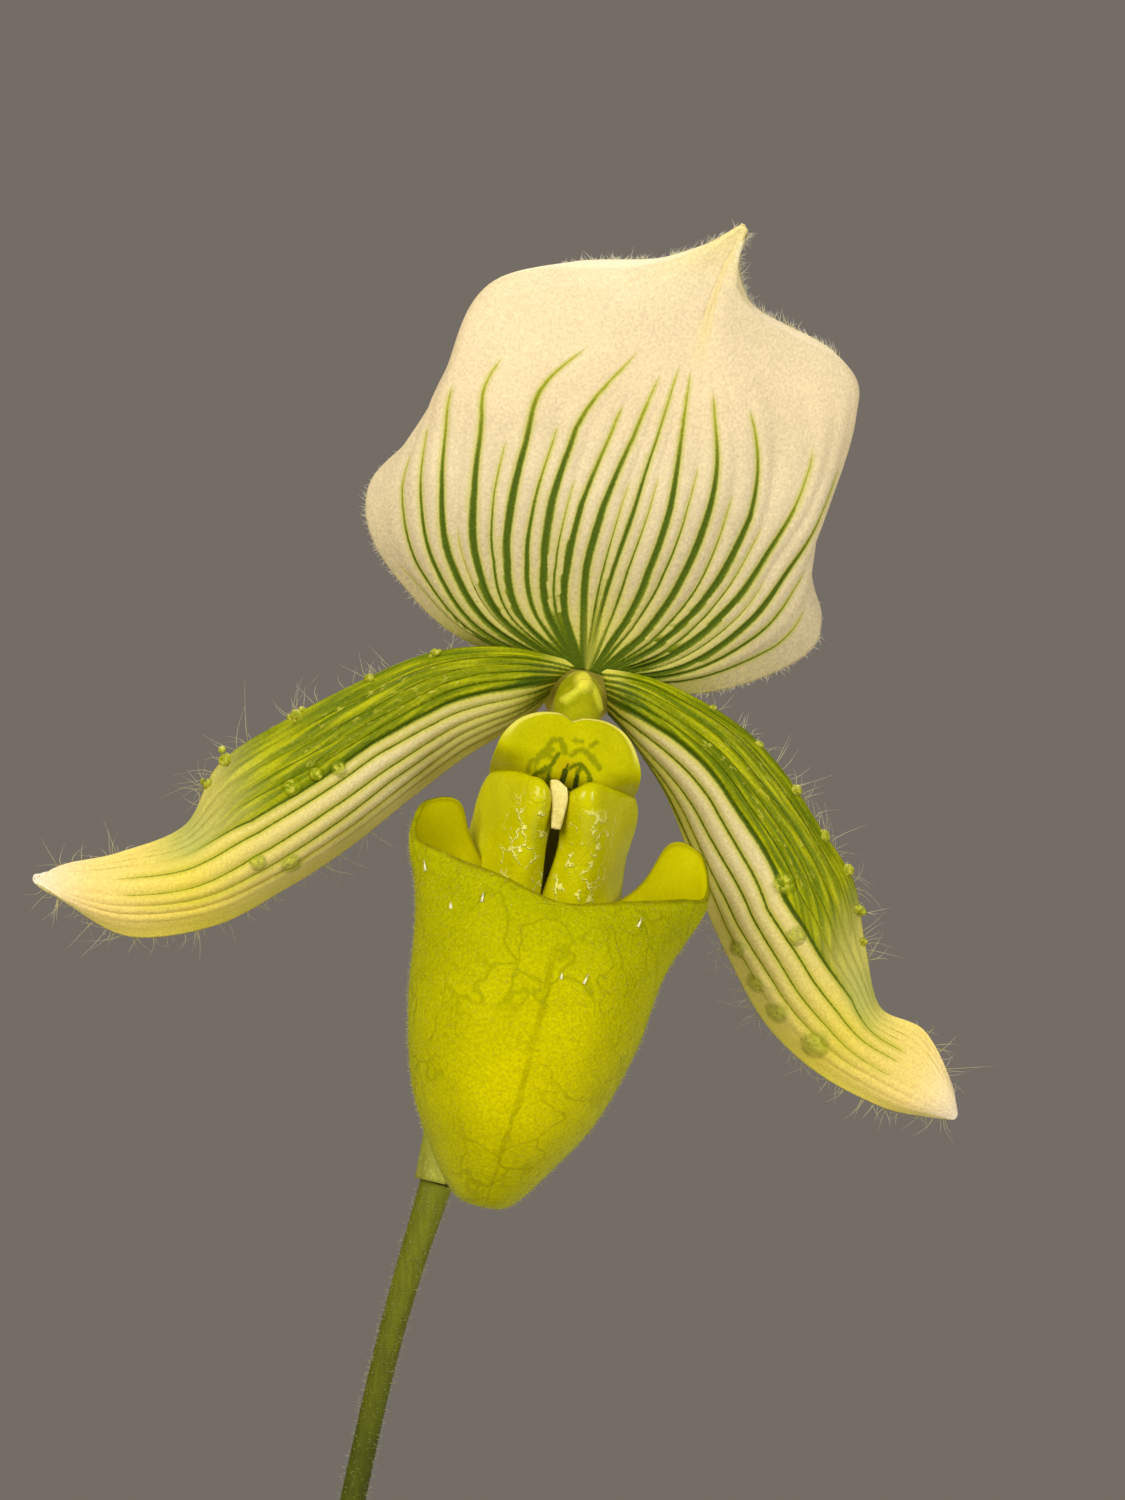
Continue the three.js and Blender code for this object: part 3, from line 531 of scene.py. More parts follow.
class Finish:
    """A material and the node steps that its pattern is made with."""

    def __init__(self, name, roughness, specular=0.5, **sockets):
        self.material = bpy.data.materials.new(name)
        self.material.use_nodes = True
        self.tree = self.material.node_tree
        self.shader = self.tree.nodes["Principled BSDF"]
        self.shader.inputs["Roughness"].default_value = roughness
        self.shader.inputs["Specular IOR Level"].default_value = specular
        for socket, value in sockets.items():
            self.shader.inputs[socket.replace("_", " ")].default_value = value
        self.place = self.add("ShaderNodeTexCoord").outputs["Object"]

    def add(self, kind, **settings):
        node = self.tree.nodes.new(kind)
        for key, value in settings.items():
            setattr(node, key, value)
        return node

    def feed(self, socket, value):
        if isinstance(value, bpy.types.NodeSocket):
            self.tree.links.new(value, socket)
        else:
            socket.default_value = value

    def read(self, name):
        return self.add("ShaderNodeAttribute", attribute_name=name).outputs["Fac"]

    def math(self, operation, *values):
        node = self.add("ShaderNodeMath", operation=operation)
        for socket, value in zip(node.inputs, values):
            self.feed(socket, value)
        return node.outputs[0]

    def times(self, *values):
        product = values[0]
        for value in values[1:]:
            product = self.math("MULTIPLY", product, value)
        return product

    def plus(self, first, second):
        return self.math("ADD", first, second)

    def minus(self, first, second):
        return self.math("SUBTRACT", first, second)

    def size_of(self, value):
        return self.math("ABSOLUTE", value)

    def band(self, value, start, end, low=0.0, high=1.0):
        node = self.add("ShaderNodeMapRange", interpolation_type="SMOOTHSTEP")
        for socket, item in zip(node.inputs, (value, start, end, low, high)):
            self.feed(socket, item)
        return node.outputs[0]

    def scaled(self, place, *scale):
        node = self.add("ShaderNodeMapping")
        self.feed(node.inputs["Vector"], place)
        node.inputs["Scale"].default_value = scale
        return node.outputs["Vector"]

    def stretched(self, x, y, z):
        return self.scaled(self.place, x, y, z)

    def laid(self, across, along):
        """Place on the sheet, for a pattern with so many spans across and along it."""
        sheet_place = self.add("ShaderNodeUVMap", uv_map="lay").outputs[0]
        return self.scaled(sheet_place, across * MM, along * MM, MM)

    def noise_node(self, size, detail, place):
        node = self.add("ShaderNodeTexNoise")
        self.feed(node.inputs["Vector"], place)
        node.inputs["Scale"].default_value = 1 / (size * MM)
        node.inputs["Detail"].default_value = detail
        return node

    def noise(self, size, detail=2.0, place=None, distortion=0.0):
        node = self.noise_node(size, detail, place or self.place)
        node.inputs["Distortion"].default_value = distortion
        return node.outputs[0]

    def jitter(self, size, amount, detail=3.0):
        """A noise around zero."""
        return self.times(self.minus(self.noise(size, detail), 0.5), amount)

    def patches(self, size, detail, start, end, low=0.0, high=1.0):
        """A mask of soft spots."""
        return self.band(self.noise(size, detail), start, end, low, high)

    def cells(self, size, feature="DISTANCE_TO_EDGE", place=None, chance=1.0):
        node = self.add("ShaderNodeTexVoronoi", feature=feature)
        self.feed(node.inputs["Vector"], place or self.place)
        node.inputs["Scale"].default_value = 1 / (size * MM)
        node.inputs["Randomness"].default_value = chance
        return node.outputs["Distance"]

    def warped(self, size, amount, place=None):
        """A place, shifted about by a soft noise."""
        shift = self.add("ShaderNodeVectorMath", operation="MULTIPLY_ADD")
        self.feed(shift.inputs[0], self.noise_node(size, 2.0, self.place).outputs["Color"])
        shift.inputs[1].default_value = (amount * MM,) * 3
        self.feed(shift.inputs[2], place or self.place)
        return shift.outputs[0]

    def shades(self, value, *stops):
        """Colours along a value. A stop is (value, red, green, blue)."""
        node = self.add("ShaderNodeValToRGB")
        ramp = node.color_ramp.elements
        while len(ramp) < len(stops):
            ramp.new(0.5)
        for element, (position, *colour) in zip(ramp, stops):
            element.position = position
            element.color = paint(*colour)
        self.feed(node.inputs["Fac"], value)
        return node.outputs["Color"]

    def blend(self, share, first, second, mode="MIX"):
        node = self.add("ShaderNodeMix", data_type="RGBA", blend_type=mode)
        for index, value in ((0, share), (6, first), (7, second)):
            self.feed(node.inputs[index], value)
        return node.outputs[2]

    def tinted(self, colour, value, low, high):
        """The colour made darker or lighter by a value from 0 to 1."""
        tone = self.band(value, 0.25, 0.75, low, high)
        grey = self.add("ShaderNodeCombineColor")
        for socket in grey.inputs[:3]:
            self.feed(socket, tone)
        return self.blend(1.0, colour, grey.outputs[0], "MULTIPLY")

    def grain(self, colour, size, detail, low, high):
        """The colour, darker and lighter in spots."""
        return self.tinted(colour, self.noise(size, detail), low, high)

    def over(self, colour, mask, *display_colour):
        """The colour with a display colour laid over it where the mask is 1."""
        return self.blend(mask, colour, paint(*display_colour))

    def bump(self, height, distance, strength=1.0):
        node = self.add("ShaderNodeBump")
        node.inputs["Distance"].default_value = distance * MM
        node.inputs["Strength"].default_value = strength
        self.feed(node.inputs["Height"], height)
        normal = self.shader.inputs["Normal"]
        if normal.links:
            self.feed(node.inputs["Normal"], normal.links[0].from_socket)
        self.feed(normal, node.outputs[0])

    def pits(self, size, detail, distance, strength):
        """An uneven skin."""
        self.bump(self.noise(size, detail), distance, strength)

    def finish(self, colour, roughness=None):
        self.feed(self.shader.inputs["Base Color"], colour)
        if roughness is not None:
            self.feed(self.shader.inputs["Roughness"], roughness)
        return self


def clay_finish():
    f = Finish("fired_clay", 0.85, specular=0.25)
    body = f.shades(f.noise(26, 4, distortion=0.6),
                    (0.3, 160, 92, 62), (0.55, 181, 107, 74), (0.75, 192, 122, 88))
    body = f.grain(body, 0.9, 4, 0.9, 1.08)
    specks = f.band(f.cells(2.6, "F1"), 0.22, 0.1, 0, 0.35)
    body = f.over(body, specks, 122, 66, 44)
    place = f.add("ShaderNodeSeparateXYZ")
    f.feed(place.inputs[0], f.place)
    tide = f.plus(place.outputs["Z"], f.times(f.noise(14, 3), 30 * MM))
    bloom = f.times(f.band(tide, 50 * MM, 22 * MM), f.patches(5, 5, 0.42, 0.62), 0.5)
    ring = f.band(f.size_of(f.minus(tide, 88 * MM)), 8 * MM, 1 * MM)
    lime = f.times(ring, f.patches(4, 5, 0.4, 0.62), 0.45)
    body = f.over(body, bloom, 214, 196, 178)
    body = f.over(body, lime, 220, 206, 190)
    f.pits(0.5, 5, 0.12, 0.5)
    f.bump(f.noise(1.6, 2, f.stretched(0.02, 0.02, 1)), 0.15, 0.5)
    return f.finish(body, f.patches(3, 3, 0.3, 0.7, 0.78, 0.95))


def bark_finish():
    f = Finish("fir_bark", 0.9, specular=0.25)
    layers = f.noise(1.1, 4, f.stretched(0.25, 0.25, 1.6), 0.8)
    colour = f.shades(f.plus(f.times(layers, 0.7), f.times(f.read("tone"), 0.35)),
                      (0.2, 46, 30, 22), (0.42, 92, 60, 40), (0.58, 126, 84, 56), (0.8, 164, 118, 82))
    colour = f.grain(colour, 0.5, 3, 0.8, 1.15)
    dust = f.patches(3.5, 4, 0.55, 0.72, 0, 0.4)
    colour = f.over(colour, dust, 156, 128, 100)
    f.bump(layers, 0.5, 0.8)
    f.pits(0.35, 4, 0.15, 0.6)
    return f.finish(colour)


def crown_finish():
    f = Finish("crown_skin", 0.75, specular=0.3)
    fibres = f.noise(0.7, 3, f.stretched(1, 1, 0.12))
    colour = f.shades(fibres, (0.3, 92, 74, 42), (0.55, 128, 116, 62), (0.75, 158, 146, 92))
    colour = f.grain(colour, 4, 3, 0.8, 1.12)
    f.bump(fibres, 0.3, 0.6)
    return f.finish(colour)


def root_finish():
    f = Finish("hairy_root", 0.95, specular=0.2)
    colour = f.shades(f.noise(1.4, 4), (0.3, 88, 62, 40), (0.6, 126, 96, 66), (0.8, 160, 134, 100))
    f.pits(0.3, 4, 0.25, 0.9)
    return f.finish(colour)


def leaf_finish(name, light, middle, dark, strength):
    """Mottled leaf: a pale net of small squares over dark green, in rows along the blade."""
    f = Finish(name, 0.38, Coat_Weight=0.12, Coat_Roughness=0.35)
    net = f.cells(1, place=f.warped(5, 0.9, f.laid(11, 26)), chance=0.85)
    lines = f.band(f.plus(net, f.jitter(1.4, 0.25)), 0.16, 0.03)
    lines = f.times(lines, f.patches(9, 2, 0.3, 0.6, 0.35, 1.0))
    colour = f.blend(f.patches(7, 3, 0.35, 0.7), dark, middle)
    colour = f.blend(f.times(lines, strength), colour, light)
    colour = f.grain(colour, 0.5, 2, 0.94, 1.05)
    colour = f.tinted(colour, f.noise(0.5, 2, f.laid(24, 3)), 0.93, 1.06)
    side = f.size_of(f.read("across"))
    colour = f.blend(f.band(side, 0.05, 0.0, 0, 0.35), colour, light)
    colour = f.blend(f.band(side, 0.965, 1.0, 0, 0.6), colour, light)
    colour = f.over(colour, f.band(f.read("along"), 0.14, 0.0, 0, 0.55), 176, 184, 120)
    f.pits(0.8, 3, 0.06, 0.5)
    f.bump(net, 0.12, 0.4)
    return f.finish(colour, f.patches(4, 2, 0.3, 0.7, 0.32, 0.46))


def stem_finish(name, low, high, fleck, change=(0, 1)):
    """Low and high are the colours before and after the change along the piece."""
    f = Finish(name, 0.6, specular=0.12)
    colour = f.blend(f.band(f.read("along"), *change), low, high)
    colour = f.grain(colour, 5, 3, 0.88, 1.1)
    streaks = f.noise(0.45, 3, f.stretched(1, 1, 0.12))
    colour = f.tinted(colour, streaks, 0.84, 1.12)
    colour = f.blend(f.band(f.cells(0.7, "F1"), 0.3, 0.1, 0, 0.45), colour, fleck)
    f.bump(streaks, 0.1, 0.6)
    f.pits(0.25, 3, 0.06, 0.6)
    return f.finish(colour)


def hair_finish(name, foot, tip):
    f = Finish(name, 0.5, specular=0.3)
    colour = f.blend(f.read("along"), foot, tip)
    return f.finish(f.grain(colour, 2.5, 1, 0.88, 1.06))


def vein_masks(f, fray):
    """Dark middle, full width and soft glow of the veins, from the marks that the mesh carries."""
    place = f.read("vein_place")
    width = f.read("vein_width")
    step = f.size_of(f.minus(place, f.math("ROUND", place)))
    away = f.plus(f.times(step, f.read("vein_gap")), f.jitter(0.3, fray))
    middle = f.band(away, f.minus(width, 0.02), f.minus(width, 0.24))
    whole = f.band(away, f.plus(width, 0.1), f.minus(width, 0.1))
    glow = f.times(f.band(away, f.plus(width, 0.6), width), f.band(width, -0.05, 0.12))
    return middle, whole, glow


def sepal_finish(name, tissue, lines, strength):
    """Pale granular tissue with green veins. Lines holds the colours young, dark, old and glow."""
    young, dark, old, glow_colour = lines
    f = Finish(name, 0.6, specular=0.1)
    middle, whole, glow = vein_masks(f, 0.16)
    age = f.read("vein_age")
    colour = f.shades(f.read("along"), *tissue)
    colour = f.grain(colour, 0.33, 3, 0.88, 1.08)
    colour = f.grain(colour, 5, 3, 0.96, 1.03)
    low = f.band(f.read("along"), 0.55, 0.1)
    grit = f.times(low, f.patches(0.5, 2, 0.5, 0.66, 0, 0.5))
    colour = f.over(colour, grit, 178, 160, 138)
    colour = f.blend(f.times(glow, 0.6 * strength), colour, glow_colour)
    line = f.blend(f.band(age, 0.45, 1.0), young, old)
    line = f.blend(f.times(middle, f.band(age, 1.0, 0.6)), line, dark)
    line = f.grain(line, 0.25, 3, 0.78, 1.18)
    colour = f.blend(f.times(whole, strength), colour, line)
    midrib = f.times(f.band(f.size_of(f.read("across")), 0.16, 0.0), f.band(f.read("along"), 0.2, 0.02))
    colour = f.over(colour, f.times(midrib, 0.45), 214, 206, 80)
    # fold: a deeper yellow band along the crease near the tip, which is painted shade in the crease
    fold = f.band(f.size_of(f.minus(f.read("across"), 0.1)), 0.1, 0.0)
    fold = f.times(fold, f.band(f.read("along"), 0.66, 0.8), 0.4)
    colour = f.over(colour, fold, 232, 206, 104)
    f.pits(0.3, 3, 0.1, 0.8)
    f.bump(whole, 0.08, -0.35)
    return f.finish(colour)


def petal_finish(name, strength):
    f = Finish(name, 0.5, specular=0.08)
    middle, whole, glow = vein_masks(f, 0.14)
    green, wart, rough, along = (f.read(mark_name) for mark_name in ("green", "wart", "rough", "along"))
    pale = f.shades(along, (0.0, 226, 214, 110), (0.05, 220, 206, 112), (0.14, 214, 198, 140),
                    (0.36, 218, 202, 148), (0.55, 222, 204, 116), (0.68, 230, 208, 84),
                    (0.82, 238, 210, 122), (0.92, 240, 218, 170), (1.0, 244, 228, 198))
    pale = f.grain(pale, 0.3, 3, 0.88, 1.08)
    margin = f.band(f.read("across"), -0.62, -0.95, 0, 0.5)
    pale = f.over(pale, margin, 206, 196, 60)
    pale = f.over(pale, f.times(glow, 0.8 * strength), 184, 178, 36)
    streaks = f.noise(1, 3, f.laid(34, 7))
    fresh = f.shades(streaks, (0.34, 88, 106, 0), (0.5, 126, 134, 2), (0.64, 172, 172, 10))
    fresh = f.grain(fresh, 0.35, 3, 0.86, 1.12)
    colour = f.blend(green, pale, fresh)
    # A painted sheen: a pale bluish-green patch on the upper half of the blade, about two thirds along it
    colour = f.over(colour, f.times(f.read("jog"), 0.65), 160, 172, 96)
    line = f.blend(green, paint(104, 116, 0), paint(62, 82, 0))
    line = f.over(line, f.times(middle, f.band(along, 0.8, 0.5)), 52, 74, 0)
    line = f.grain(line, 0.3, 3, 0.8, 1.18)
    colour = f.blend(f.times(whole, strength), colour, line)
    scales = f.times(rough, f.band(f.noise(1, 3, f.laid(46, 60)), 0.54, 0.66))
    colour = f.over(colour, f.times(scales, 0.85), 192, 190, 62)
    # The rough patches are painted as lit lumps: the darker green over each patch is painted shade, and the
    # pale flecks on its middle are a painted highlight
    patch = f.plus(wart, f.jitter(0.9, 0.7))
    colour = f.over(colour, f.band(patch, 0.1, 0.7, 0, 0.6), 134, 146, 6)
    painted_top_highlight = f.times(f.band(patch, 0.5, 0.9), f.patches(0.45, 3, 0.42, 0.56))
    colour = f.over(colour, f.times(painted_top_highlight, 0.7), 206, 202, 70)
    f.pits(0.3, 3, 0.08, 0.8)
    f.bump(whole, 0.1, -0.4)
    f.bump(scales, 0.2, 0.8)
    f.bump(f.times(f.band(wart, 0.1, 0.6), f.noise(0.5, 3)), 0.35, 0.9)
    return f.finish(colour)


def wart_finish():
    f = Finish("wart", 0.55, specular=0.2)
    colour = f.shades(f.noise(0.5, 3), (0.3, 128, 134, 8), (0.5, 168, 168, 26), (0.7, 204, 200, 84))
    f.pits(0.3, 3, 0.3, 0.9)
    return f.finish(colour)


def lip_finish():
    """Outside of the pouch: velvety yellow-green, with the smooth rolls at its mouth."""
    f = Finish("lip_outside", 0.5, specular=0.1, Specular_Tint=paint(255, 238, 60),
               Coat_Roughness=0.14)
    roll = f.read("roll")
    along = f.read("along")
    # glow is painted light: brighter yellow on the front of the pouch a little below its middle, darker olive
    # towards its sides
    colour = f.blend(f.read("glow"), paint(168, 168, 0), paint(200, 190, 0))
    colour = f.grain(colour, 7, 3, 0.92, 1.06)
    colour = f.grain(colour, 0.32, 3, 0.84, 1.12)
    net = f.band(f.cells(5, place=f.warped(4, 6, f.stretched(1, 1, 0.6))), 0.06, 0.0)
    net = f.times(net, f.patches(9, 2, 0.35, 0.65, 0.12, 0.62))
    colour = f.over(colour, net, 142, 142, 0)
    sway = f.plus(f.read("across"), f.jitter(6, 0.012, 2))
    seam = f.times(f.band(f.size_of(sway), 0.016, 0.003), f.band(along, 0.74, 0.6),
                   f.patches(1.5, 2, 0.3, 0.6, 0.2, 0.45))
    colour = f.over(colour, seam, 134, 126, 0)
    rim = f.times(f.band(along, 0.962, 0.99), f.minus(1.0, roll))
    colour = f.over(colour, f.times(rim, f.patches(2, 2, 0.3, 0.6, 0.35, 0.75)), 120, 112, 0)
    rolled = f.tinted(paint(200, 194, 0), f.noise(3, 2), 0.92, 1.05)
    rolled = f.grain(rolled, 0.4, 2, 0.96, 1.03)
    colour = f.blend(roll, colour, rolled)
    thread = f.band(f.cells(1.8, place=f.warped(0.9, 1.8)), 0.1, 0.04)
    thread = f.times(thread, f.patches(1.5, 2, 0.48, 0.56), f.read("squiggle"))
    colour = f.over(colour, f.times(thread, 0.9), 248, 242, 130)
    f.pits(0.34, 3, 0.1, 0.8)
    f.bump(f.times(net, -1.0), 0.12, 0.6)
    f.bump(thread, 0.12, 0.9)
    f.feed(f.shader.inputs["Coat Weight"], f.times(roll, 0.4))
    return f.finish(colour, f.band(roll, 0, 1, 0.5, 0.2))


def lip_inside_finish():
    f = Finish("lip_inside", 0.4, specular=0.14, Specular_Tint=paint(255, 238, 60))
    colour = f.shades(f.noise(8, 2), (0.3, 178, 170, 0), (0.7, 194, 186, 2))
    colour = f.grain(colour, 0.4, 2, 0.95, 1.04)
    spots = f.times(f.band(f.cells(2.2, "F1"), 0.16, 0.08), f.band(f.read("along"), 0.75, 0.5, 0, 0.5))
    colour = f.over(colour, spots, 150, 140, 2)
    rim = f.band(f.read("along"), 0.975, 0.995, 0, 0.5)
    colour = f.over(colour, rim, 130, 120, 0)
    f.pits(0.5, 2, 0.03, 0.5)
    return f.finish(colour)


def shield_finish():
    f = Finish("shield", 0.42, specular=0.12, Specular_Tint=paint(255, 240, 110))
    colour = f.shades(f.noise(4, 3), (0.3, 176, 172, 0), (0.7, 194, 188, 2))
    colour = f.grain(colour, 0.28, 3, 0.92, 1.06)
    colour = f.over(colour, f.read("ochre"), 176, 150, 6)
    # The cream band along the top is partly the rim's own paler colour and partly a painted highlight on its
    # swollen edge
    colour = f.over(colour, f.times(f.read("rim"), 0.75), 226, 216, 96)
    net = f.band(f.plus(f.read("net"), f.jitter(0.5, 0.6)), 0.34, -0.05, 0, 0.7)
    colour = f.over(colour, net, 116, 122, 6)
    stroke = f.band(f.plus(f.read("stroke"), f.jitter(0.4, 0.5)), 0.22, -0.1, 0, 0.85)
    colour = f.over(colour, stroke, 78, 94, 6)
    drop = f.band(f.plus(f.read("drop"), f.jitter(0.4, 0.2)), 0.08, -0.1, 0, 0.95)
    colour = f.over(colour, drop, 48, 62, 6)
    f.pits(0.25, 3, 0.06, 0.7)
    return f.finish(colour)


def stalk_finish():
    f = Finish("column_stalk", 0.45, specular=0.2, Specular_Tint=paint(255, 240, 110))
    colour = f.shades(f.noise(2, 3), (0.3, 144, 146, 4), (0.7, 168, 166, 10))
    colour = f.over(colour, f.band(f.read("along"), 0.34, 0.12), 206, 198, 80)
    colour = f.over(colour, f.times(f.read("ridge"), 0.85), 214, 210, 56)
    colour = f.over(colour, f.times(f.read("knob"), 0.9), 232, 220, 70)
    colour = f.grain(colour, 0.3, 3, 0.9, 1.08)
    f.pits(0.3, 3, 0.08, 0.8)
    return f.finish(colour)


def cream_finish(name, low, high):
    f = Finish(name, 0.45, specular=0.25)
    colour = f.shades(f.noise(1.2, 3), (0.3, *low), (0.7, *high))
    colour = f.grain(colour, 0.3, 3, 0.9, 1.06)
    f.pits(0.4, 3, 0.08, 0.6)
    return f.finish(colour)


def floor_finish():
    f = Finish("studio_floor", 0.7)
    colour = f.shades(f.noise(240, 3), (0.3, 206, 202, 196), (0.7, 214, 210, 204))
    f.pits(1.5, 3, 0.05, 0.3)
    return f.finish(colour)


DORSAL_TISSUE = (
    (0.0, 230, 214, 100), (0.08, 206, 192, 116), (0.25, 208, 191, 146), (0.45, 224, 206, 164),
    (0.65, 231, 209, 165), (0.85, 235, 215, 171), (1.0, 238, 220, 148),
)
BACK_TISSUE = ((0.0, 178, 176, 96), (0.4, 210, 202, 150), (1.0, 240, 226, 180))
FRONT_LINES = (paint(108, 122, 0), paint(68, 90, 0), paint(166, 168, 40), paint(190, 186, 64))
BACK_LINES = (paint(130, 142, 50), paint(110, 126, 40), paint(186, 184, 96), paint(190, 188, 96))

clay = clay_finish()
bark = bark_finish()
crown_skin = crown_finish()
root_skin = root_finish()
leaf_top = leaf_finish("leaf_upper_side", paint(142, 162, 104), paint(74, 104, 46), paint(46, 76, 32), 0.75)
leaf_under = leaf_finish("leaf_lower_side", paint(150, 168, 112), paint(116, 140, 78),
                         paint(96, 122, 62), 0.4)
scape_skin = stem_finish("flower_stem", paint(70, 76, 8), paint(110, 114, 20),
                         paint(116, 118, 38), (0.8, 0.99))
ovary_skin = stem_finish("ovary_skin", paint(128, 128, 40), paint(228, 214, 92),
                         paint(176, 170, 80), (0.8, 0.93))
bract_skin = stem_finish("bract_skin", paint(152, 152, 54), paint(140, 146, 32),
                         paint(196, 190, 110), (0.06, 0.3))
dorsal_front = sepal_finish("dorsal_front", DORSAL_TISSUE, FRONT_LINES, 0.97)
dorsal_back = sepal_finish("dorsal_back", BACK_TISSUE, BACK_LINES, 0.6)
petal_front = petal_finish("petal_front", 0.92)
petal_back = petal_finish("petal_back", 0.55)
wart_skin = wart_finish()
lip_outside = lip_finish()
lip_inside = lip_inside_finish()
shield_skin = shield_finish()
stalk_skin = stalk_finish()
tooth_skin = cream_finish("cream_tooth", (222, 204, 104), (240, 222, 140))
anther_skin = cream_finish("anther", (160, 140, 60), (196, 180, 96))
speck_skin = cream_finish("pale_speck", (244, 238, 178), (252, 248, 204))
white_hair = hair_finish("white_hair", paint(206, 196, 140), paint(246, 238, 214))
petal_hair = hair_finish("petal_hair", paint(178, 168, 96), paint(226, 216, 184))
pale_fuzz = hair_finish("pale_fuzz", paint(190, 186, 40), paint(214, 208, 96))
stem_fuzz = hair_finish("stem_fuzz", paint(150, 150, 80), paint(200, 196, 150))


# Pot

def build_pot():
    profile = [
        (0, 0),
        (POT_BASE_RADIUS - 1.5, 0),
        (POT_BASE_RADIUS, 1.5),
        (WALL_TOP, BAND_FOOT),
        (POT_RIM_RADIUS - 1, BAND_FOOT + 1),
        (POT_RIM_RADIUS, POT_HEIGHT - 1.5),
        (POT_RIM_RADIUS - 1.5, POT_HEIGHT),
        (POT_RIM_RADIUS - POT_WALL + 0.5, POT_HEIGHT),
        (POT_RIM_RADIUS - POT_WALL - 0.5, POT_HEIGHT - 1.5),
        (WALL_TOP - POT_WALL, BAND_FOOT - 4),
        (POT_BASE_RADIUS - POT_WALL + 1, POT_FLOOR + 4),
        (POT_BASE_RADIUS - POT_WALL - 2, POT_FLOOR),
        (0, POT_FLOOR),
    ]
    bm = bmesh.new()
    verts = [bm.verts.new((radius * MM, 0, height * MM)) for radius, height in profile]
    edges = [bm.edges.new(pair) for pair in zip(verts, verts[1:])]
    long_edges = [edge for edge in edges if edge.calc_length() > 20 * MM]
    bmesh.ops.subdivide_edges(bm, edges=long_edges, cuts=12)
    bmesh.ops.spin(bm, geom=bm.verts[:] + bm.edges[:], axis=(0, 0, 1), cent=(0, 0, 0),
                   angle=math.tau, steps=POT_STEPS, use_merge=True)
    bmesh.ops.remove_doubles(bm, verts=bm.verts[:], dist=0.01 * MM)
    bmesh.ops.recalc_face_normals(bm, faces=bm.faces[:])
    pot = add_piece("pot_body", mesh_of("pot_body", bm), [clay], ["pot"])
    drill_holes(pot)
    soften = pot.modifiers.new("worn_edges", "BEVEL")
    soften.limit_method = "ANGLE"
    soften.angle_limit = math.radians(28)
    soften.width = WORN_EDGE * MM
    soften.segments = 3
    soften.profile = 0.5
    applied(pot)
    pot.data.shade_smooth()


def drill_holes(pot):
    bm = bmesh.new()
    for i in range(DRAIN_HOLES):
        angle = math.tau * (i + 0.5) / DRAIN_HOLES
        x = DRAIN_CIRCLE * math.cos(angle)
        y = DRAIN_CIRCLE * math.sin(angle)
        place = Matrix.Translation(Vector((x, y, POT_FLOOR / 2)) * MM)
        bmesh.ops.create_cone(bm, cap_ends=True, segments=32, radius1=DRAIN_RADIUS * MM,
                              radius2=DRAIN_RADIUS * MM, depth=(POT_FLOOR + 4) * MM, matrix=place)
    drills = new_object("drills", mesh_of("drills", bm))
    cut = pot.modifiers.new("drains", "BOOLEAN")
    cut.operation = "DIFFERENCE"
    cut.solver = "EXACT"
    cut.object = drills
    applied(pot)
    bpy.data.objects.remove(drills)


# Crown and bark

def chance_of(seed):
    """The CAD source's own run of chances, so that the chips lie where its chips lie."""
    state = seed
    while True:
        state = state * 16807 % 2147483647
        yield state / 2147483647


def root_curve(index):
    angle = math.tau * (index + 0.35) / ROOT_COUNT
    reach = 24 + 4 * math.sin(index * 2.1)
    drop = 24 + 6 * math.cos(index * 1.7)

    def point(r, z, turn):
        return (CROWN[0] + r * math.cos(angle + turn), CROWN[1] + r * math.sin(angle + turn), z)

    return curve_through([
        point(CROWN_RADIUS - 5, CROWN_TOP - 7, 0),
        point(CROWN_RADIUS + 4, CROWN_TOP - 5.5, 0.05),
        point(reach - 4, CROWN_TOP - 11, 0.14),
        point(reach, CROWN_TOP - drop, 0.2),
        point(reach - 3, CROWN_TOP - drop - 16, 0.1),
    ])


def build_crown():
    low = CROWN_TOP - CROWN_DEPTH
    foot = [(0, low), (CROWN_RADIUS * 0.6, low), (CROWN_RADIUS, low + 3.5)]
    shoulder = [(CROWN_RADIUS, CROWN_TOP - 2.5), (CROWN_RADIUS - 2, CROWN_TOP), (0, CROWN_TOP)]

    def ribs(u, v):
        fade = np.sin(np.clip(v, 0, 1) * math.pi) ** 2
        return 0.25 * np.sin(u * 40 + 3 * np.sin(v * 9)) * fade - 0.2

    sheet = raised(turned_sheet(foot + shoulder, CROWN), ribs)
    add_sheet("crown_body", sheet, CROWN_GRID, [crown_skin], "crown", ring=True)
    bm = bmesh.new()
    for index in range(ROOT_COUNT):
        def radius(t, angle, index=index):
            lumps = 0.12 * np.sin(t * 31 + index) + 0.08 * np.sin(t * 67 + 2 * angle)
            return ROOT_RADIUS * (1 - 0.25 * t) + lumps
        tube = tube_sheet(root_curve(index), radius, SHORT_RINGS, ROOT_REACH)
        root = sheet_mesh("root", tube, ROOT_GRID, ring=True)
        bm.from_mesh(root)
        bpy.data.meshes.remove(root)
    add_piece("roots", mesh_of("roots", bm), [root_skin], ["crown"])


CORNERS = [(1, 1, 1), (1, 1, -1), (1, -1, 1), (1, -1, -1), (-1, 1, -1), (-1, 1, 1), (-1, -1, -1), (-1, -1, 1)]


def fresh_verts(bm, start):
    bm.verts.ensure_lookup_table()
    return bm.verts[start:]


def edges_round(verts):
    return list({edge for vert in verts for edge in vert.link_edges})


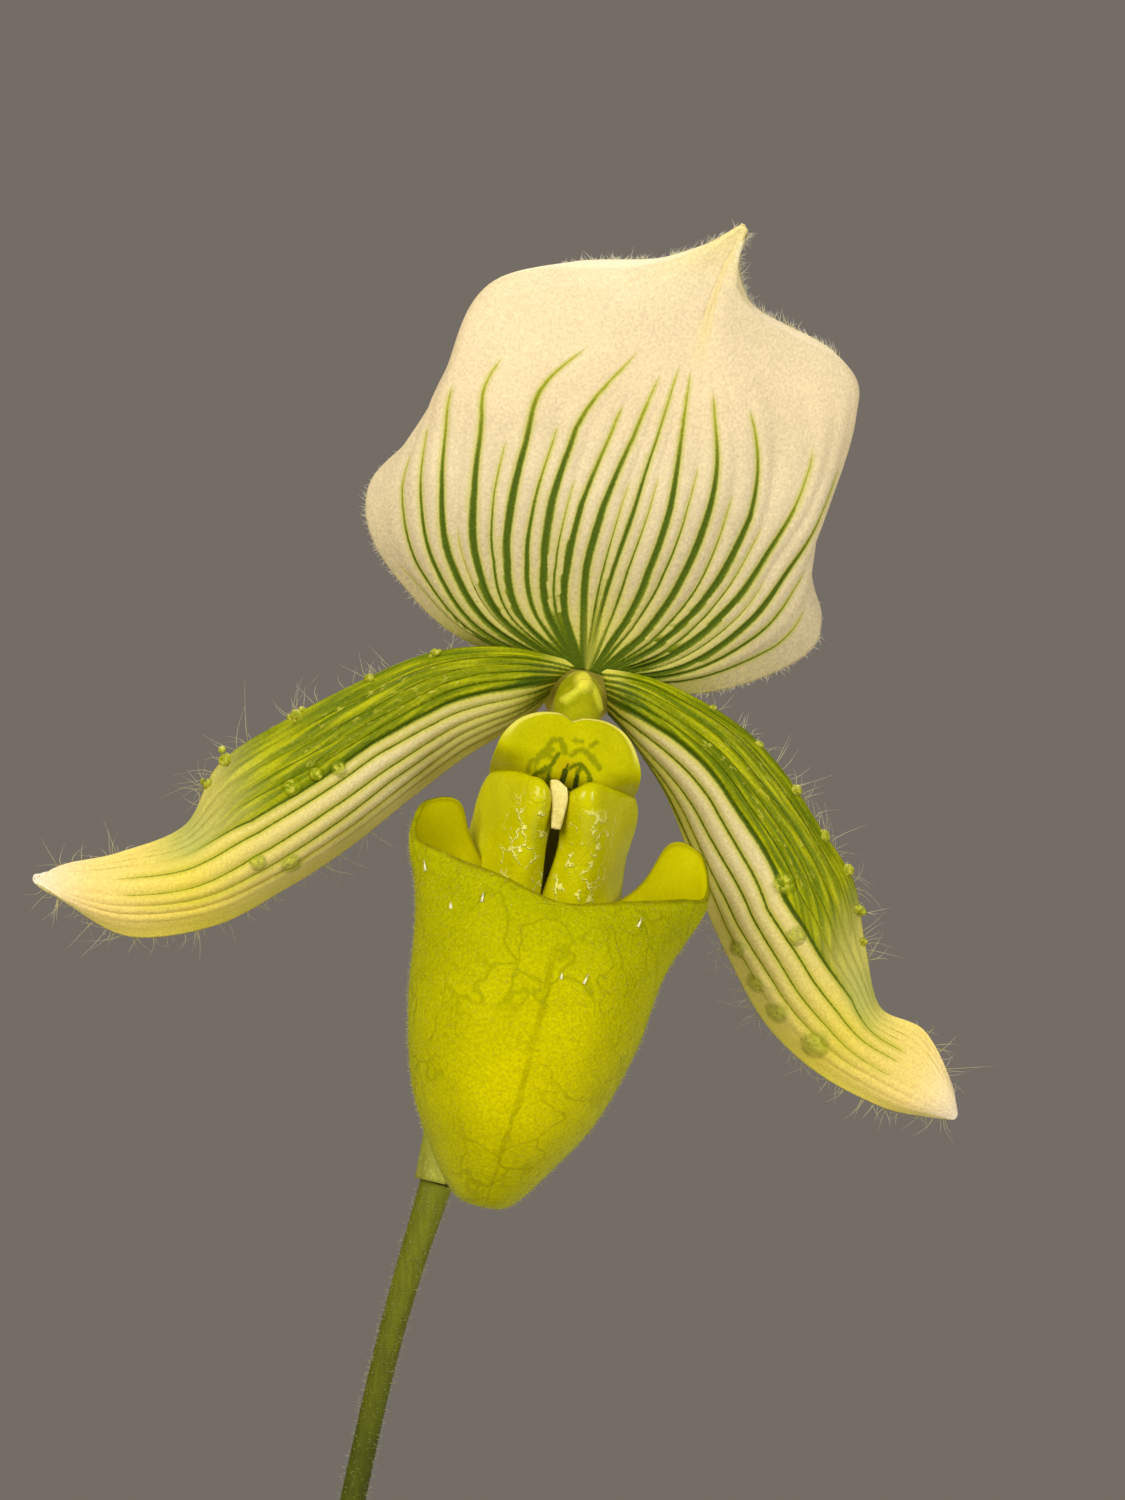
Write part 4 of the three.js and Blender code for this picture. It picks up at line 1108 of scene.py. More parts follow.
def shaped_chip(bm, chip, seed, tone, cuts=3):
    """One flake of bark: a skewed block with worn edges and a layered, broken surface."""
    corners, sizes, turns, spot = chip
    start = len(bm.verts)
    bmesh.ops.create_cube(bm, size=1)
    for vert in fresh_verts(bm, start):
        at = next(i for i, sign in enumerate(CORNERS) if all(sign[k] * vert.co[k] > 0 for k in range(3)))
        vert.co = corners[at]
    edges = edges_round(fresh_verts(bm, start))
    bmesh.ops.bevel(bm, geom=edges, offset=0.07, segments=1, profile=0.5, affect="EDGES", material=-1)
    edges = edges_round(fresh_verts(bm, start))
    bmesh.ops.subdivide_edges(bm, edges=edges, cuts=cuts, use_grid_fill=True)
    about = [Euler((0, 0, turns[2])), Euler((0, turns[1], 0)), Euler((turns[0], 0, 0))]
    turn = about[0].to_matrix() @ about[1].to_matrix() @ about[2].to_matrix()
    tone_layer = bm.verts.layers.float["tone"]
    for vert in fresh_verts(bm, start):
        co = Vector((vert.co.x * sizes[0], vert.co.y * sizes[1], vert.co.z * sizes[2]))
        push = 0.5 * noise.noise(co * 0.5 + Vector((seed * 7.3, 0, 0)))
        layer = 0.35 * noise.noise(Vector((co.x * 0.15, co.y * 0.15, co.z * 2.2 + seed * 3.1)))
        way = Vector((co.x, co.y, co.z * 0.4)).normalized()
        co = co + way * (push + layer - 0.15)
        vert.co = (turn @ co + Vector(spot)) * MM
        vert[tone_layer] = tone


def off_crown(spot, gap):
    return math.hypot(spot[0] - CROWN[0], spot[1] - CROWN[1]) > CROWN_RADIUS + gap


def chip_mesh(name, chips, cuts):
    bm = bmesh.new()
    bm.verts.layers.float.new("tone")
    for seed, tone, chip in chips:
        shaped_chip(bm, chip, seed, tone, cuts)
    bmesh.ops.recalc_face_normals(bm, faces=bm.faces[:])
    return mesh_of(name, bm)


def build_bark_bed():
    profile = [
        (0, POT_FLOOR + CLEARANCE),
        (POT_BASE_RADIUS - POT_WALL - 2.6, POT_FLOOR + CLEARANCE),
        (POT_BASE_RADIUS - POT_WALL + 0.4, POT_FLOOR + 4.4),
        (WALL_TOP - POT_WALL - 0.6, BAND_FOOT - 4),
        (WALL_TOP - POT_WALL + 1.8, BARK_LEVEL - 1.5),
        (24, BARK_LEVEL - 0.5),
        (0, BARK_LEVEL - 0.5),
    ]
    bed = sheet_mesh("bark_bed", turned_sheet(profile), BED_GRID, ring=True)
    mark(bed, tone=np.full(len(bed.vertices), 0.15))
    points = read_points(bed)
    shift = np.array([noise.noise(Vector(p * 260)) + 0.5 * noise.noise(Vector(p * 700)) for p in points])
    top = points[:, 2] > (BARK_LEVEL - 4) * MM
    points[:, 2] += np.where(top, shift * BED_HUMPS * MM, 0)
    write_points(bed, points)
    add_piece("bark_bed", bed, [bark], ["bark_mix"])


def build_bark():
    build_bark_bed()
    draws = chance_of(CHIP_SEED)
    tones = np.random.default_rng(TONE_SEED)
    chips = []
    for i in range(BARK_CHIPS):
        corners = [Vector([0.5 * axis + (next(draws) - 0.5) * 0.5 for axis in sign]) for sign in CORNERS]
        sizes = [8 + 7 * next(draws), 6 + 4 * next(draws), 4 + 2.5 * next(draws)]
        turns = [(next(draws) - 0.5) * 0.9, (next(draws) - 0.5) * 0.9, next(draws) * math.tau]
        radius = CHIP_SPREAD * math.sqrt((i + 0.6) / BARK_CHIPS)
        height = BARK_LEVEL + 0.4 + 1.6 * next(draws)
        spot = (radius * math.cos(i * CHIP_TURN), radius * math.sin(i * CHIP_TURN), height)
        if off_crown(spot, 3):
            chips.append((i, tones.uniform(0, 1), (corners, sizes, turns, spot)))
    add_piece("bark_chips", chip_mesh("bark_chips", chips, 3), [bark], ["bark_mix"])

    crumbs = []
    for i in range(CRUMBS):
        radius = (CHIP_SPREAD + 6.5) * math.sqrt(tones.uniform(0, 1))
        angle = tones.uniform(0, math.tau)
        spot = (radius * math.cos(angle), radius * math.sin(angle), BARK_LEVEL + tones.uniform(-0.3, 0.9))
        sizes = [tones.uniform(2.5, 6.5), tones.uniform(2, 4), tones.uniform(1.5, 2.6)]
        turns = [tones.normal(0, 0.3), tones.normal(0, 0.3), tones.uniform(0, math.tau)]
        corners = [Vector([0.5 * axis * tones.uniform(0.6, 1.2) for axis in sign]) for sign in CORNERS]
        if off_crown(spot, 1.5):
            crumbs.append((i + 100, tones.uniform(0, 1), (corners, sizes, turns, spot)))
    add_piece("bark_crumbs", chip_mesh("bark_crumbs", crumbs, 1), [bark], ["bark_mix"])


# Leaves

leaf_width = profile_of([
    (0, 0.3), (0.12, 0.38), (0.3, 0.74), (0.5, 0.98), (0.7, 0.95), (0.87, 0.66), (0.96, 0.32), (1, 0.06),
])
leaf_fold = profile_of([(0, 46), (0.15, 44), (0.35, 30), (0.6, 17), (0.85, 13), (1, 10)])
# Each leaf: turn, half width, sway, and its spine as (reach, height) from the crown
LEAVES = [
    (180 + FAN_TURN, 20, 9, [(11.5, 0), (13, 14), (27, 28), (56, 34), (91, 26), (121, 6), (132, -8)]),
    (FAN_TURN, 21, -9, [(11.5, 0), (13, 15), (28, 31), (59, 41), (93, 38), (125, 22), (139, 8)]),
    (180 + FAN_TURN, 19.5, -7, [(8.5, 0), (9.5, 20), (20, 43), (46, 61), (78, 67), (108, 58), (122, 48)]),
    (FAN_TURN, 19, 8, [(8.5, 0), (9.5, 20), (19, 45), (42, 65), (72, 76), (100, 72), (115, 63)]),
    (180 + FAN_TURN, 15, 5, [(5.5, 0), (6, 20), (12, 45), (26, 68), (45, 84), (62, 91)]),
    (FAN_TURN, 12, -3, [(5.5, 0), (6, 20), (10.5, 44), (19, 66), (31, 85), (42, 97)]),
]


def leaf_sheet(turn, half_width, sway, spine):
    curve = curve_through(spine)
    angle = math.radians(turn)

    def sheet(u, v):
        reach, height = curve(v).T
        tilt = unit(curve(v + 0.01) - curve(v - 0.01))
        fold = np.radians(leaf_fold(v))
        width = half_width * leaf_width(v)
        wave = LEAF_WAVE * v * u * u * np.sin(v * 17 + u * 2.5)
        lift = width * (np.sqrt(u * u + 0.015) - 0.12) * np.sin(fold) + wave
        r = reach - tilt[:, 1] * lift
        side = u * width * np.cos(fold) + sway * v * v
        x = CROWN[0] + r * math.cos(angle) - side * math.sin(angle)
        y = CROWN[1] + r * math.sin(angle) + side * math.cos(angle)
        z = CROWN_TOP + 1.5 * CLEARANCE + height + tilt[:, 0] * lift
        return np.stack([x, y, z], axis=1)

    return sheet


def build_leaves():
    for index, leaf in enumerate(LEAVES, 1):
        piece, u, v = add_sheet(f"leaf_blade_{index}", leaf_sheet(*leaf), LEAF_GRID,
                                [leaf_top, leaf_under], f"leaf_{index}", turned=True)
        margin = smooth_step(np.abs(u), 0.6, 1)
        thicken(piece, LEAF_THICKNESS, 1 - 0.55 * margin - 0.25 * smooth_step(v, 0.85, 1))


# Stem, ovary and bract

SCAPE_LINE = [
    (CROWN[0], CROWN[1], CROWN_TOP - SCAPE_SOCKET + CLEARANCE), (-6.5, 1, 140), (-4.5, 1.8, 185),
    (-0.4, 2.6, 220), near_flower(-26.4, 23, -92.2), near_flower(-21, 23, -69.4),
    near_flower(-16.8, 23, -55.9),
]
OVARY_LINE = [
    near_flower(-16.6, 23.1, -55.5), near_flower(-14.2, 24, -46), near_flower(-10.5, 24, -34),
    near_flower(-6, 21.5, -20), near_flower(-2.8, 15.5, -8.5), on_flower([0, 8, -1.6]),
    on_flower([-0.3, 3.2, -0.4]),
]
scape_radius = profile_of([(0, 2.2), (0.4, 1.9), (0.75, 1.5), (0.93, 1.5), (0.975, 1.7), (1, 1.9)])
ovary_radius = profile_of([(0, 1.6), (0.12, 1.9), (0.5, 2.5), (0.8, 2.3), (0.93, 2.8), (1, 4)])
BRACT_SPREAD = math.radians(138)
BRACT_CLASP = math.radians(38)
BRACT_REACH = 0.372


def ribbed_ovary(t, angle):
    return ovary_radius(t) * (1 + 0.1 * np.sin(np.pi * t) * np.cos(6 * angle))


def bract_sheet(u, v):
    """The sheath round the ovary's foot. Its own foot clasps the stem all round."""
    ovary_curve = curve_through(OVARY_LINE)
    t = BRACT_REACH * v - 0.008
    along = unit(ovary_curve(t + 0.01) - ovary_curve(t - 0.01))
    back = np.array([[-0.45, 0.89, 0]])
    back = unit(back - along * np.sum(along * back, axis=1, keepdims=True))
    side = np.cross(along, back)
    clasp = BRACT_CLASP * smooth_step(v, 0.34, 0.06)
    spread = u * (BRACT_SPREAD + clasp) * np.sqrt(np.maximum(1 - v * v * 0.98, 0.01))
    radius = ovary_radius(np.maximum(t, 0)) + BRACT_GAP + BRACT_FLARE * v * v
    spoke = back * np.cos(spread)[:, None] + side * np.sin(spread)[:, None]
    return ovary_curve(t) + spoke * radius[:, None]


def build_stem():
    scape = tube_sheet(curve_through(SCAPE_LINE), round_by(scape_radius), STEM_RINGS)
    add_sheet("flower_stem", scape, SCAPE_GRID, [scape_skin], "scape", ring=True)
    fuzz("stem_hairs", scape, stem_fuzz, STEM_HAIR, count=4200, seed=11, lengths=(0.5, 0.95),
         lift=-0.05, v_range=(0.03, 0.995), lean=0.3)

    ovary = tube_sheet(curve_through(OVARY_LINE), ribbed_ovary, STEM_RINGS)
    add_sheet("ovary_body", ovary, OVARY_GRID, [ovary_skin], "ovary", ring=True)
    fuzz("ovary_hairs", ovary, stem_fuzz, STEM_HAIR, count=1300, seed=21, lengths=(0.5, 1.0),
         lift=-0.05, v_range=(0.05, 0.93), lean=0.4)

    piece, u, v = add_sheet("bract_sheath", bract_sheet, BRACT_GRID, [bract_skin], "bract")
    thicken(piece, BRACT_THICKNESS, 1 - 0.5 * smooth_step(np.maximum(np.abs(u), v), 0.7, 1))
    edges = both_margins(0.1, 0.98, 40, 0.8, 1.6)
    fringe("bract_hairs", bract_sheet, stem_fuzz, edges, seed=31, radius=STEM_HAIR)


# Veins. Each one: half width, where it ends, and its places across the sheet at the levels.

THICK, MEDIUM, THIN, FAINT = 0.54, 0.4, 0.3, 0.2
DORSAL_LEVELS = (0.12, 0.25, 0.4, 0.55, 0.7)
DORSAL_VEINS = [
    (FAINT, 0.28, (-0.81, -0.93, -0.95, -0.95, -0.95)),
    (THIN, 0.49, (-0.78, -0.84, -0.85, -0.82, -0.86)),
    (MEDIUM, 0.54, (-0.72, -0.74, -0.76, -0.79, -0.81)),
    (THICK, 0.62, (-0.63, -0.64, -0.65, -0.69, -0.72)),
    (THIN, 0.34, (-0.57, -0.57, -0.58, -0.61, -0.66)),
    (THICK, 0.68, (-0.53, -0.51, -0.51, -0.53, -0.60)),
    (THIN, 0.53, (-0.48, -0.44, -0.44, -0.43, -0.48)),
    (THICK, 0.73, (-0.43, -0.39, -0.38, -0.37, -0.37)),
    (MEDIUM, 0.57, (-0.35, -0.32, -0.31, -0.29, -0.28)),
    (THICK, 0.73, (-0.29, -0.26, -0.26, -0.24, -0.19)),
    (THIN, 0.47, (-0.25, -0.22, -0.21, -0.20, -0.16)),
    (THICK, 0.63, (-0.21, -0.18, -0.17, -0.14, -0.13)),
    (THICK, 0.69, (-0.11, -0.11, -0.10, -0.07, -0.06)),
    (THIN, 0.48, (-0.05, -0.04, -0.04, -0.03, -0.03)),
    (MEDIUM, 0.71, (-0.01, 0.0, 0.01, 0.01, 0.0)),
    (THIN, 0.49, (0.09, 0.07, 0.07, 0.06, 0.03)),
    (THICK, 0.70, (0.26, 0.19, 0.16, 0.11, 0.06)),
    (THIN, 0.51, (0.37, 0.29, 0.24, 0.21, 0.15)),
    (THICK, 0.67, (0.49, 0.41, 0.35, 0.28, 0.21)),
    (THIN, 0.45, (0.56, 0.51, 0.44, 0.38, 0.32)),
    (THICK, 0.64, (0.60, 0.57, 0.55, 0.48, 0.42)),
    (THIN, 0.42, (0.65, 0.62, 0.61, 0.57, 0.52)),
    (THICK, 0.59, (0.68, 0.67, 0.68, 0.69, 0.66)),
    (THIN, 0.35, (0.72, 0.72, 0.72, 0.74, 0.74)),
    (THICK, 0.58, (0.76, 0.76, 0.78, 0.80, 0.80)),
    (MEDIUM, 0.42, (0.80, 0.82, 0.84, 0.86, 0.86)),
    (THIN, 0.37, (0.86, 0.90, 0.91, 0.93, 0.93)),
]
PETAL_LEVELS = (0.05, 0.15, 0.25, 0.35, 0.45, 0.55, 0.65, 0.75)
LEFT_BORDER = (0.05, 0.12, 0.11, 0.20, 0.22, 0.24, 0.44, 0.52)
LEFT_VEINS = [
    (0.16, 0.50, (-0.82, -0.84, -0.83, -0.80, -0.76, -0.74, -0.72, -0.70)),
    (0.20, 0.66, (-0.64, -0.66, -0.69, -0.67, -0.64, -0.63, -0.57, -0.54)),
    (0.22, 0.78, (-0.54, -0.51, -0.53, -0.46, -0.44, -0.45, -0.41, -0.38)),
    (0.22, 0.80, (-0.42, -0.35, -0.34, -0.26, -0.20, -0.21, -0.17, -0.16)),
    (0.25, 0.80, (-0.25, -0.13, -0.10, 0.02, 0.06, 0.07, 0.18, 0.22)),
    (0.42, 0.70, LEFT_BORDER),
    (0.28, 0.60, (0.20, 0.31, 0.28, 0.32, 0.40, 0.46, 0.58, 0.66)),
    (0.25, 0.55, (0.42, 0.48, 0.41, 0.46, 0.55, 0.62, 0.70, 0.76)),
    (0.22, 0.50, (0.60, 0.63, 0.60, 0.62, 0.69, 0.75, 0.81, 0.86)),
    (0.18, 0.45, (0.76, 0.78, 0.78, 0.80, 0.84, 0.88, 0.91, 0.93)),
]
RIGHT_BORDER = (-0.26, -0.08, -0.03, -0.02, -0.04, 0.17, 0.43, 0.38)
RIGHT_VEINS = [
    (0.18, 0.60, (-0.98, -0.98, -0.95, -0.88, -0.86, -0.78, -0.72, -0.68)),
    (0.20, 0.76, (-0.93, -0.92, -0.83, -0.79, -0.73, -0.58, -0.50, -0.44)),
    (0.22, 0.80, (-0.86, -0.78, -0.63, -0.58, -0.52, -0.37, -0.25, -0.22)),
    (0.25, 0.80, (-0.62, -0.45, -0.32, -0.33, -0.31, -0.10, 0.07, 0.14)),
    (0.42, 0.80, RIGHT_BORDER),
    (0.28, 0.60, (0.02, 0.14, 0.16, 0.16, 0.16, 0.34, 0.56, 0.56)),
    (0.25, 0.58, (0.27, 0.33, 0.35, 0.36, 0.38, 0.50, 0.68, 0.70)),
    (0.22, 0.52, (0.50, 0.54, 0.55, 0.56, 0.58, 0.66, 0.80, 0.83)),
    (0.18, 0.45, (0.75, 0.77, 0.78, 0.78, 0.80, 0.84, 0.90, 0.93)),
]


def among_veins(veins, levels, u, v):
    """For each point, the vein below it and how far it is on the way to the next."""
    tracks = np.array([np.interp(v, levels, places) for _, _, places in veins])
    below = np.clip((tracks <= u).sum(axis=0) - 1, 0, len(veins) - 2)
    n = np.arange(len(u))
    low = tracks[below, n]
    high = tracks[below + 1, n]
    return below + (u - low) / np.maximum(high - low, 0.004), high - low


def mark_veins(mesh, sheet, veins, levels):
    u, v = marks_of(mesh)
    place, spacing = among_veins(veins, levels, u, v)
    right, _ = slopes_of(sheet, u, v)
    nearest = np.clip(np.round(place), 0, len(veins) - 1).astype(int)
    half = np.array([vein[0] for vein in veins])[nearest]
    tip = np.array([vein[1] for vein in veins])[nearest]
    taper = np.clip((tip - v) / 0.34, 0, 1) ** 0.7
    width = half * taper - 0.14 * smooth_step(v, tip - 0.04, tip + 0.01)
    mark(mesh, vein_place=np.clip(place, -0.49, len(veins) - 0.51),
         vein_gap=spacing * np.linalg.norm(right, axis=1), vein_width=width, vein_age=np.clip(v / tip, 0, 1))


def pleats(veins, levels, depth, last=0.95, fading=0.6):
    """Shallow furrows over the veins, which fade out along the sheet."""
    def relief(u, v):
        place, _ = among_veins(veins, levels, u, v)
        fade = smooth_step(v, 0.02, 0.15) * smooth_step(v, last, fading) * smooth_step(np.abs(u), 1, 0.85)
        return -depth * fade * np.cos(2 * np.pi * np.clip(place, 0, len(veins) - 1))
    return relief


# Sepals

DORSAL_ACROSS = (-1, -0.85, -0.55, 0, 0.55, 0.85, 1)
DORSAL_COLUMNS = [
    [(-2.4, 2.6, 2), (-14.3, 5, 2.7), (-22.8, 6, 8.2), (-27, 6, 14.5), (-26.2, 6.5, 20.2),
     (-18.5, 9.5, 29.5), (-14.6, 3, 43.3), (-1.6, -0.8, 47.9), (4.4, -5.8, 52.2)],
    [(-1.9, 2.55, 2), (-13.3, 3.8, 3.2), (-20.6, 3, 9.2), (-23.8, 2.6, 16), (-24, 2.6, 22.5),
     (-22, 2.8, 30), (-19, 1, 41.3), (-3.2, -2.6, 46.5), (4.6, -5.9, 52.3)],
    [(-1.2, 2.5, 2.1), (-10.5, 1.9, 5.5), (-15.5, 0.6, 11), (-17.5, -0.6, 17), (-18, -1.2, 23.5),
     (-17.5, -1.6, 30.5), (-11.5, -2, 38), (-2, -3.6, 45.4), (4.8, -6, 52.4)],
    [(0, 2.5, 2.2), (0, 1, 8.5), (0, -0.5, 13.5), (0.3, -1.6, 19), (0.7, -2.3, 25.5),
     (1.4, -2.7, 32), (2.3, -3, 40), (3.5, -4.2, 47), (5, -6, 52.6)],
    [(1.2, 2.5, 2.1), (6, 1.9, 7), (10.5, 0.7, 13.5), (13, -0.6, 21), (14, -1.2, 27.5),
     (13, -1.6, 34), (9.5, -2, 40.5), (5.8, -3.8, 45.9), (5.2, -6, 52.4)],
    [(1.9, 2.55, 2), (11.5, 3.6, 4), (18.5, 3, 10), (21, 2.8, 16.5), (21.8, 3, 24),
     (22.9, 3, 35.5), (20.4, 2, 41), (7.2, -2.6, 44.8), (5.4, -5.9, 52.3)],
    [(2.4, 2.6, 2), (13, 5, 2.5), (23, 6, 8.3), (24.8, 6.4, 13.8), (20.2, 9.5, 23),
     (21.8, 8, 35.5), (19.8, 3.6, 42.2), (8, -1.2, 45.4), (5.6, -5.8, 52.2)],
]
# Small waves of the margins: where along, then how far out on the left and on the right
DORSAL_WAVES = [
    (0, 0, 0), (0.2, 0, 0), (0.3, 0.5, 0), (0.44, 0, 0), (0.57, -0.8, 0), (0.7, 0, 0),
    (0.82, -0.2, -0.6), (0.9, 0.15, 0), (0.96, 0, -0.3), (1, 0, 0),
]
DORSAL_CREASES = ((0.04, 0.02), (0.1, 0.025), (0.17, 0.02))
DORSAL_THINNING = 0.75
dorsal_net = net_sheet(DORSAL_COLUMNS, DORSAL_ACROSS)
SYNSEPAL_VEINS = [(0.2, 0.92, (place, place)) for place in np.linspace(-0.85, 0.85, 10)]


def dorsal_sheet(u, v):
    points = dorsal_net(u, v)
    waves = spline([wave[0] for wave in DORSAL_WAVES], [wave[1:] for wave in DORSAL_WAVES], np.clip(v, 0, 1))
    push = np.where(u < 0, -waves[:, 0], waves[:, 1]) * smooth_step(np.abs(u), 0.82, 1)
    points[:, 0] += push
    return points


def dorsal_relief(u, v):
    creases = sum(bell(u, middle, width) for middle, width in DORSAL_CREASES)
    tip = smooth_step(v, 0.7, 0.8) * smooth_step(v, 1, 0.94)
    furrows = pleats(DORSAL_VEINS, DORSAL_LEVELS, DORSAL_FURROW, 0.75, 0.45)(u, v)
    return furrows - DORSAL_CREASE * creases * tip


def margin_shares(u, v, thin=0.5):
    """How thick a sheet is over its face: full in the middle, thin at the margin and tip."""
    return 1 - thin * smooth_step(np.abs(u), 0.7, 1) - 0.2 * smooth_step(v, 0.85, 1)


def build_dorsal():
    plain = placed(dorsal_sheet)
    piece, u, v = add_sheet("dorsal_blade", raised(plain, dorsal_relief), DORSAL_GRID,
                            [dorsal_front, dorsal_back], "dorsal_sepal")
    mark_veins(piece.data, plain, DORSAL_VEINS, DORSAL_LEVELS)
    thicken(piece, SEPAL_THICKNESS, margin_shares(u, v, DORSAL_THINNING))
    edges = both_margins(0.55, 0.995, 560, 0.6, 1.5) + both_margins(0.06, 0.55, 200, 0.4, 1.0)
    fringe("dorsal_hairs", plain, white_hair, edges, seed=41)
    fuzz("dorsal_back_hairs", plain, white_hair, FINE_HAIR, count=3000, seed=43,
         lengths=(0.4, 1.0), lift=0.1, v_range=(0.05, 0.97), side=-1)


def synsepal_sheet(u, v):
    half = spline([0, 0.2, 0.45, 0.75, 1], [[2.6], [4.6], [7.6], [6.6], [0.5]], v)[:, 0]
    y, z = spline([0, 0.3, 0.65, 1], [[3.5, -5.3], [2.8, -14.5], [1.4, -26.5], [-0.6, -38]], v).T
    cup = 1.6 * u * u * np.sin(np.pi * np.minimum(v + 0.1, 1))
    return np.stack([half * u - 0.7, y + cup, z + 1.2 * u * u], axis=1)


def build_synsepal():
    plain = placed(synsepal_sheet)
    sheet = raised(plain, pleats(SYNSEPAL_VEINS, (0, 1), SYNSEPAL_FURROW))
    piece, u, v = add_sheet("synsepal_blade", sheet, SYNSEPAL_GRID, [dorsal_front, dorsal_back],
                            "synsepal", turned=True)
    mark_veins(piece.data, plain, SYNSEPAL_VEINS, (0, 1))
    thicken(piece, SEPAL_THICKNESS, margin_shares(u, v))
    fringe("synsepal_hairs", plain, white_hair, both_margins(0.1, 0.98, 60, 0.6, 1.4), seed=47)


# Petals: an upper margin, a raised middle line and a lower margin, each from foot to tip

def petal_sheet(upper, middle, lower):
    along = np.linspace(0, 1, len(middle))

    def sheet(u, v):
        high, mid, low = (spline(along, line, v) for line in (upper, middle, lower))
        across = u[:, None]
        points = mid + (high - low) / 2 * across + ((high + low) / 2 - mid) * across * across
        points[:, 1] += PETAL_WAVE * u ** 4 * np.sin(v * 26 + u * 1.5) * np.sin(np.pi * v)
        return points

    return sheet


LEFT_PETAL = petal_sheet(
    [(-1, 2.4, 2.7), (-10, 1, 2.5), (-17.5, 1, 0), (-24, 1, -4.5), (-30.5, 1, -10), (-36.9, 1, -16.5),
     (-39, 1.9, -23.9), (-45.2, 3, -28.4), (-50.4, 3, -30.7), (-53.4, 2, -32.7)],
    [(-3.2, 2.3, 0.5), (-8, -1, -2), (-14.5, -2, -5.5), (-20, -3, -11), (-25.5, -3, -17.5),
     (-31.5, -3, -23.5), (-37, -2, -29), (-44.5, 0, -32), (-51, 2, -33), (-53.8, 2, -33.1)],
    [(-3.8, 2.4, -2), (-6, 1, -5), (-11.3, 1, -10), (-15.9, 1, -15.5), (-21, 1, -21.8), (-27, 1, -28),
     (-33.5, 1, -33.5), (-42.2, 2, -36.8), (-49.6, 2, -34.8), (-53.4, 2, -33.6)],
)
RIGHT_PETAL = petal_sheet(
    [(1.4, 2.4, 2.7), (8.5, 1, 2.6), (17.1, 1, 0.1), (22.9, 1, -3.5), (29, 1, -9.3), (33.8, 1, -14),
     (36.5, 1, -20.5), (40, 2, -27), (45.5, 2, -28.5), (49.5, 1, -33.5), (50.6, 1, -36.4)],
    [(2.9, 2.3, 0.5), (7, -1, -1), (14, -2, -4.5), (19.5, -3, -9.5), (24.5, -3, -14.5), (28, -3, -20),
     (32, -2, -26), (37.5, -1, -31), (44, 0, -33.5), (48.5, 0, -35.5), (50.8, 1, -36.9)],
    [(3.4, 2.4, -2), (6.4, 1, -4.2), (11, 1, -8.7), (15.2, 1, -14.7), (18.2, 1, -19.8), (22.6, 1, -25.7),
     (28.3, 1, -31.6), (35, 1, -35.5), (42.5, 1, -37.5), (47.5, 1, -37.5), (50.5, 1, -37.3)],
)
WART_SEED_STEP = 100
# Warts on the upper margin: (along, size). Rough patches on the blade: (across, along, size)
LEFT_WARTS = [(0.21, 0.55), (0.32, 0.6), (0.435, 0.75), (0.545, 0.75), (0.59, 0.6)]
LEFT_PATCHES = [
    (0.33, 0.478, 0.6), (0.2, 0.408, 0.5), (-0.58, 0.53, 0.7), (-0.28, 0.57, 0.5), (0.3, 0.44, 0.4),
]
RIGHT_WARTS = [
    (0.165, 0.45), (0.252, 0.55), (0.338, 0.7), (0.41, 0.75), (0.48, 0.75), (0.545, 0.65), (0.595, 0.5),
]
RIGHT_PATCHES = [
    (0, 0.425, 0.8), (-0.06, 0.512, 0.6), (-0.83, 0.485, 0.6), (-0.8, 0.54, 0.7), (-0.75, 0.59, 0.8),
    (-0.6, 0.66, 1.0),
]
# Tufts of margin hairs: (margin, from, to, count, shortest, longest)
LEFT_FRINGE = [
    (1, 0.17, 0.24, 8, 1.2, 2.6), (1, 0.28, 0.36, 14, 1.5, 3.2), (1, 0.4, 0.47, 14, 2, 4.4),
    (1, 0.5, 0.63, 26, 2, 5), (1, 0.76, 0.92, 14, 1.5, 4.6), (-1, 0.2, 0.4, 12, 0.8, 2),
    (-1, 0.4, 0.97, 84, 1.5, 4.2),
]
RIGHT_FRINGE = [
    (1, 0.14, 0.26, 16, 1.5, 3.4), (1, 0.27, 0.38, 20, 2, 5), (1, 0.38, 0.5, 30, 2, 5),
    (1, 0.5, 0.63, 30, 2, 4.4), (1, 0.78, 0.97, 16, 1.2, 3.4), (-1, 0.42, 0.98, 90, 1.4, 3.8),
]


def wart_field(patches, sheet, u, v):
    """1 in the middle of a rough patch on the blade, falling to 0 at 2.4 times its size."""
    field = np.zeros(len(u))
    points = sheet(u, v)
    for across, along, size in patches:
        middle = sheet(np.array([across]), np.array([along]))
        away = np.linalg.norm(points - middle, axis=1) / size
        field = np.maximum(field, 1 - smooth_step(away, 0.1, 2.4))
    return field


def wart_cluster(bm, middle, size, chance):
    """A lump with smaller ones on it, all with an uneven skin."""
    lumps = [(np.zeros(3), size)]
    for _ in range(5):
        lumps.append((chance.normal(0, 0.5, 3) * size, size * chance.uniform(0.35, 0.6)))
    for offset, radius in lumps:
        place = Vector((middle + offset) * MM)
        start = len(bm.verts)
        bmesh.ops.create_icosphere(bm, subdivisions=3, radius=radius * MM, matrix=Matrix.Translation(place))
        for vert in fresh_verts(bm, start):
            uneven = 1 + 0.3 * noise.noise(vert.co * 1500) + 0.2 * noise.noise(vert.co * 4200)
            vert.co = place + (vert.co - place) * uneven


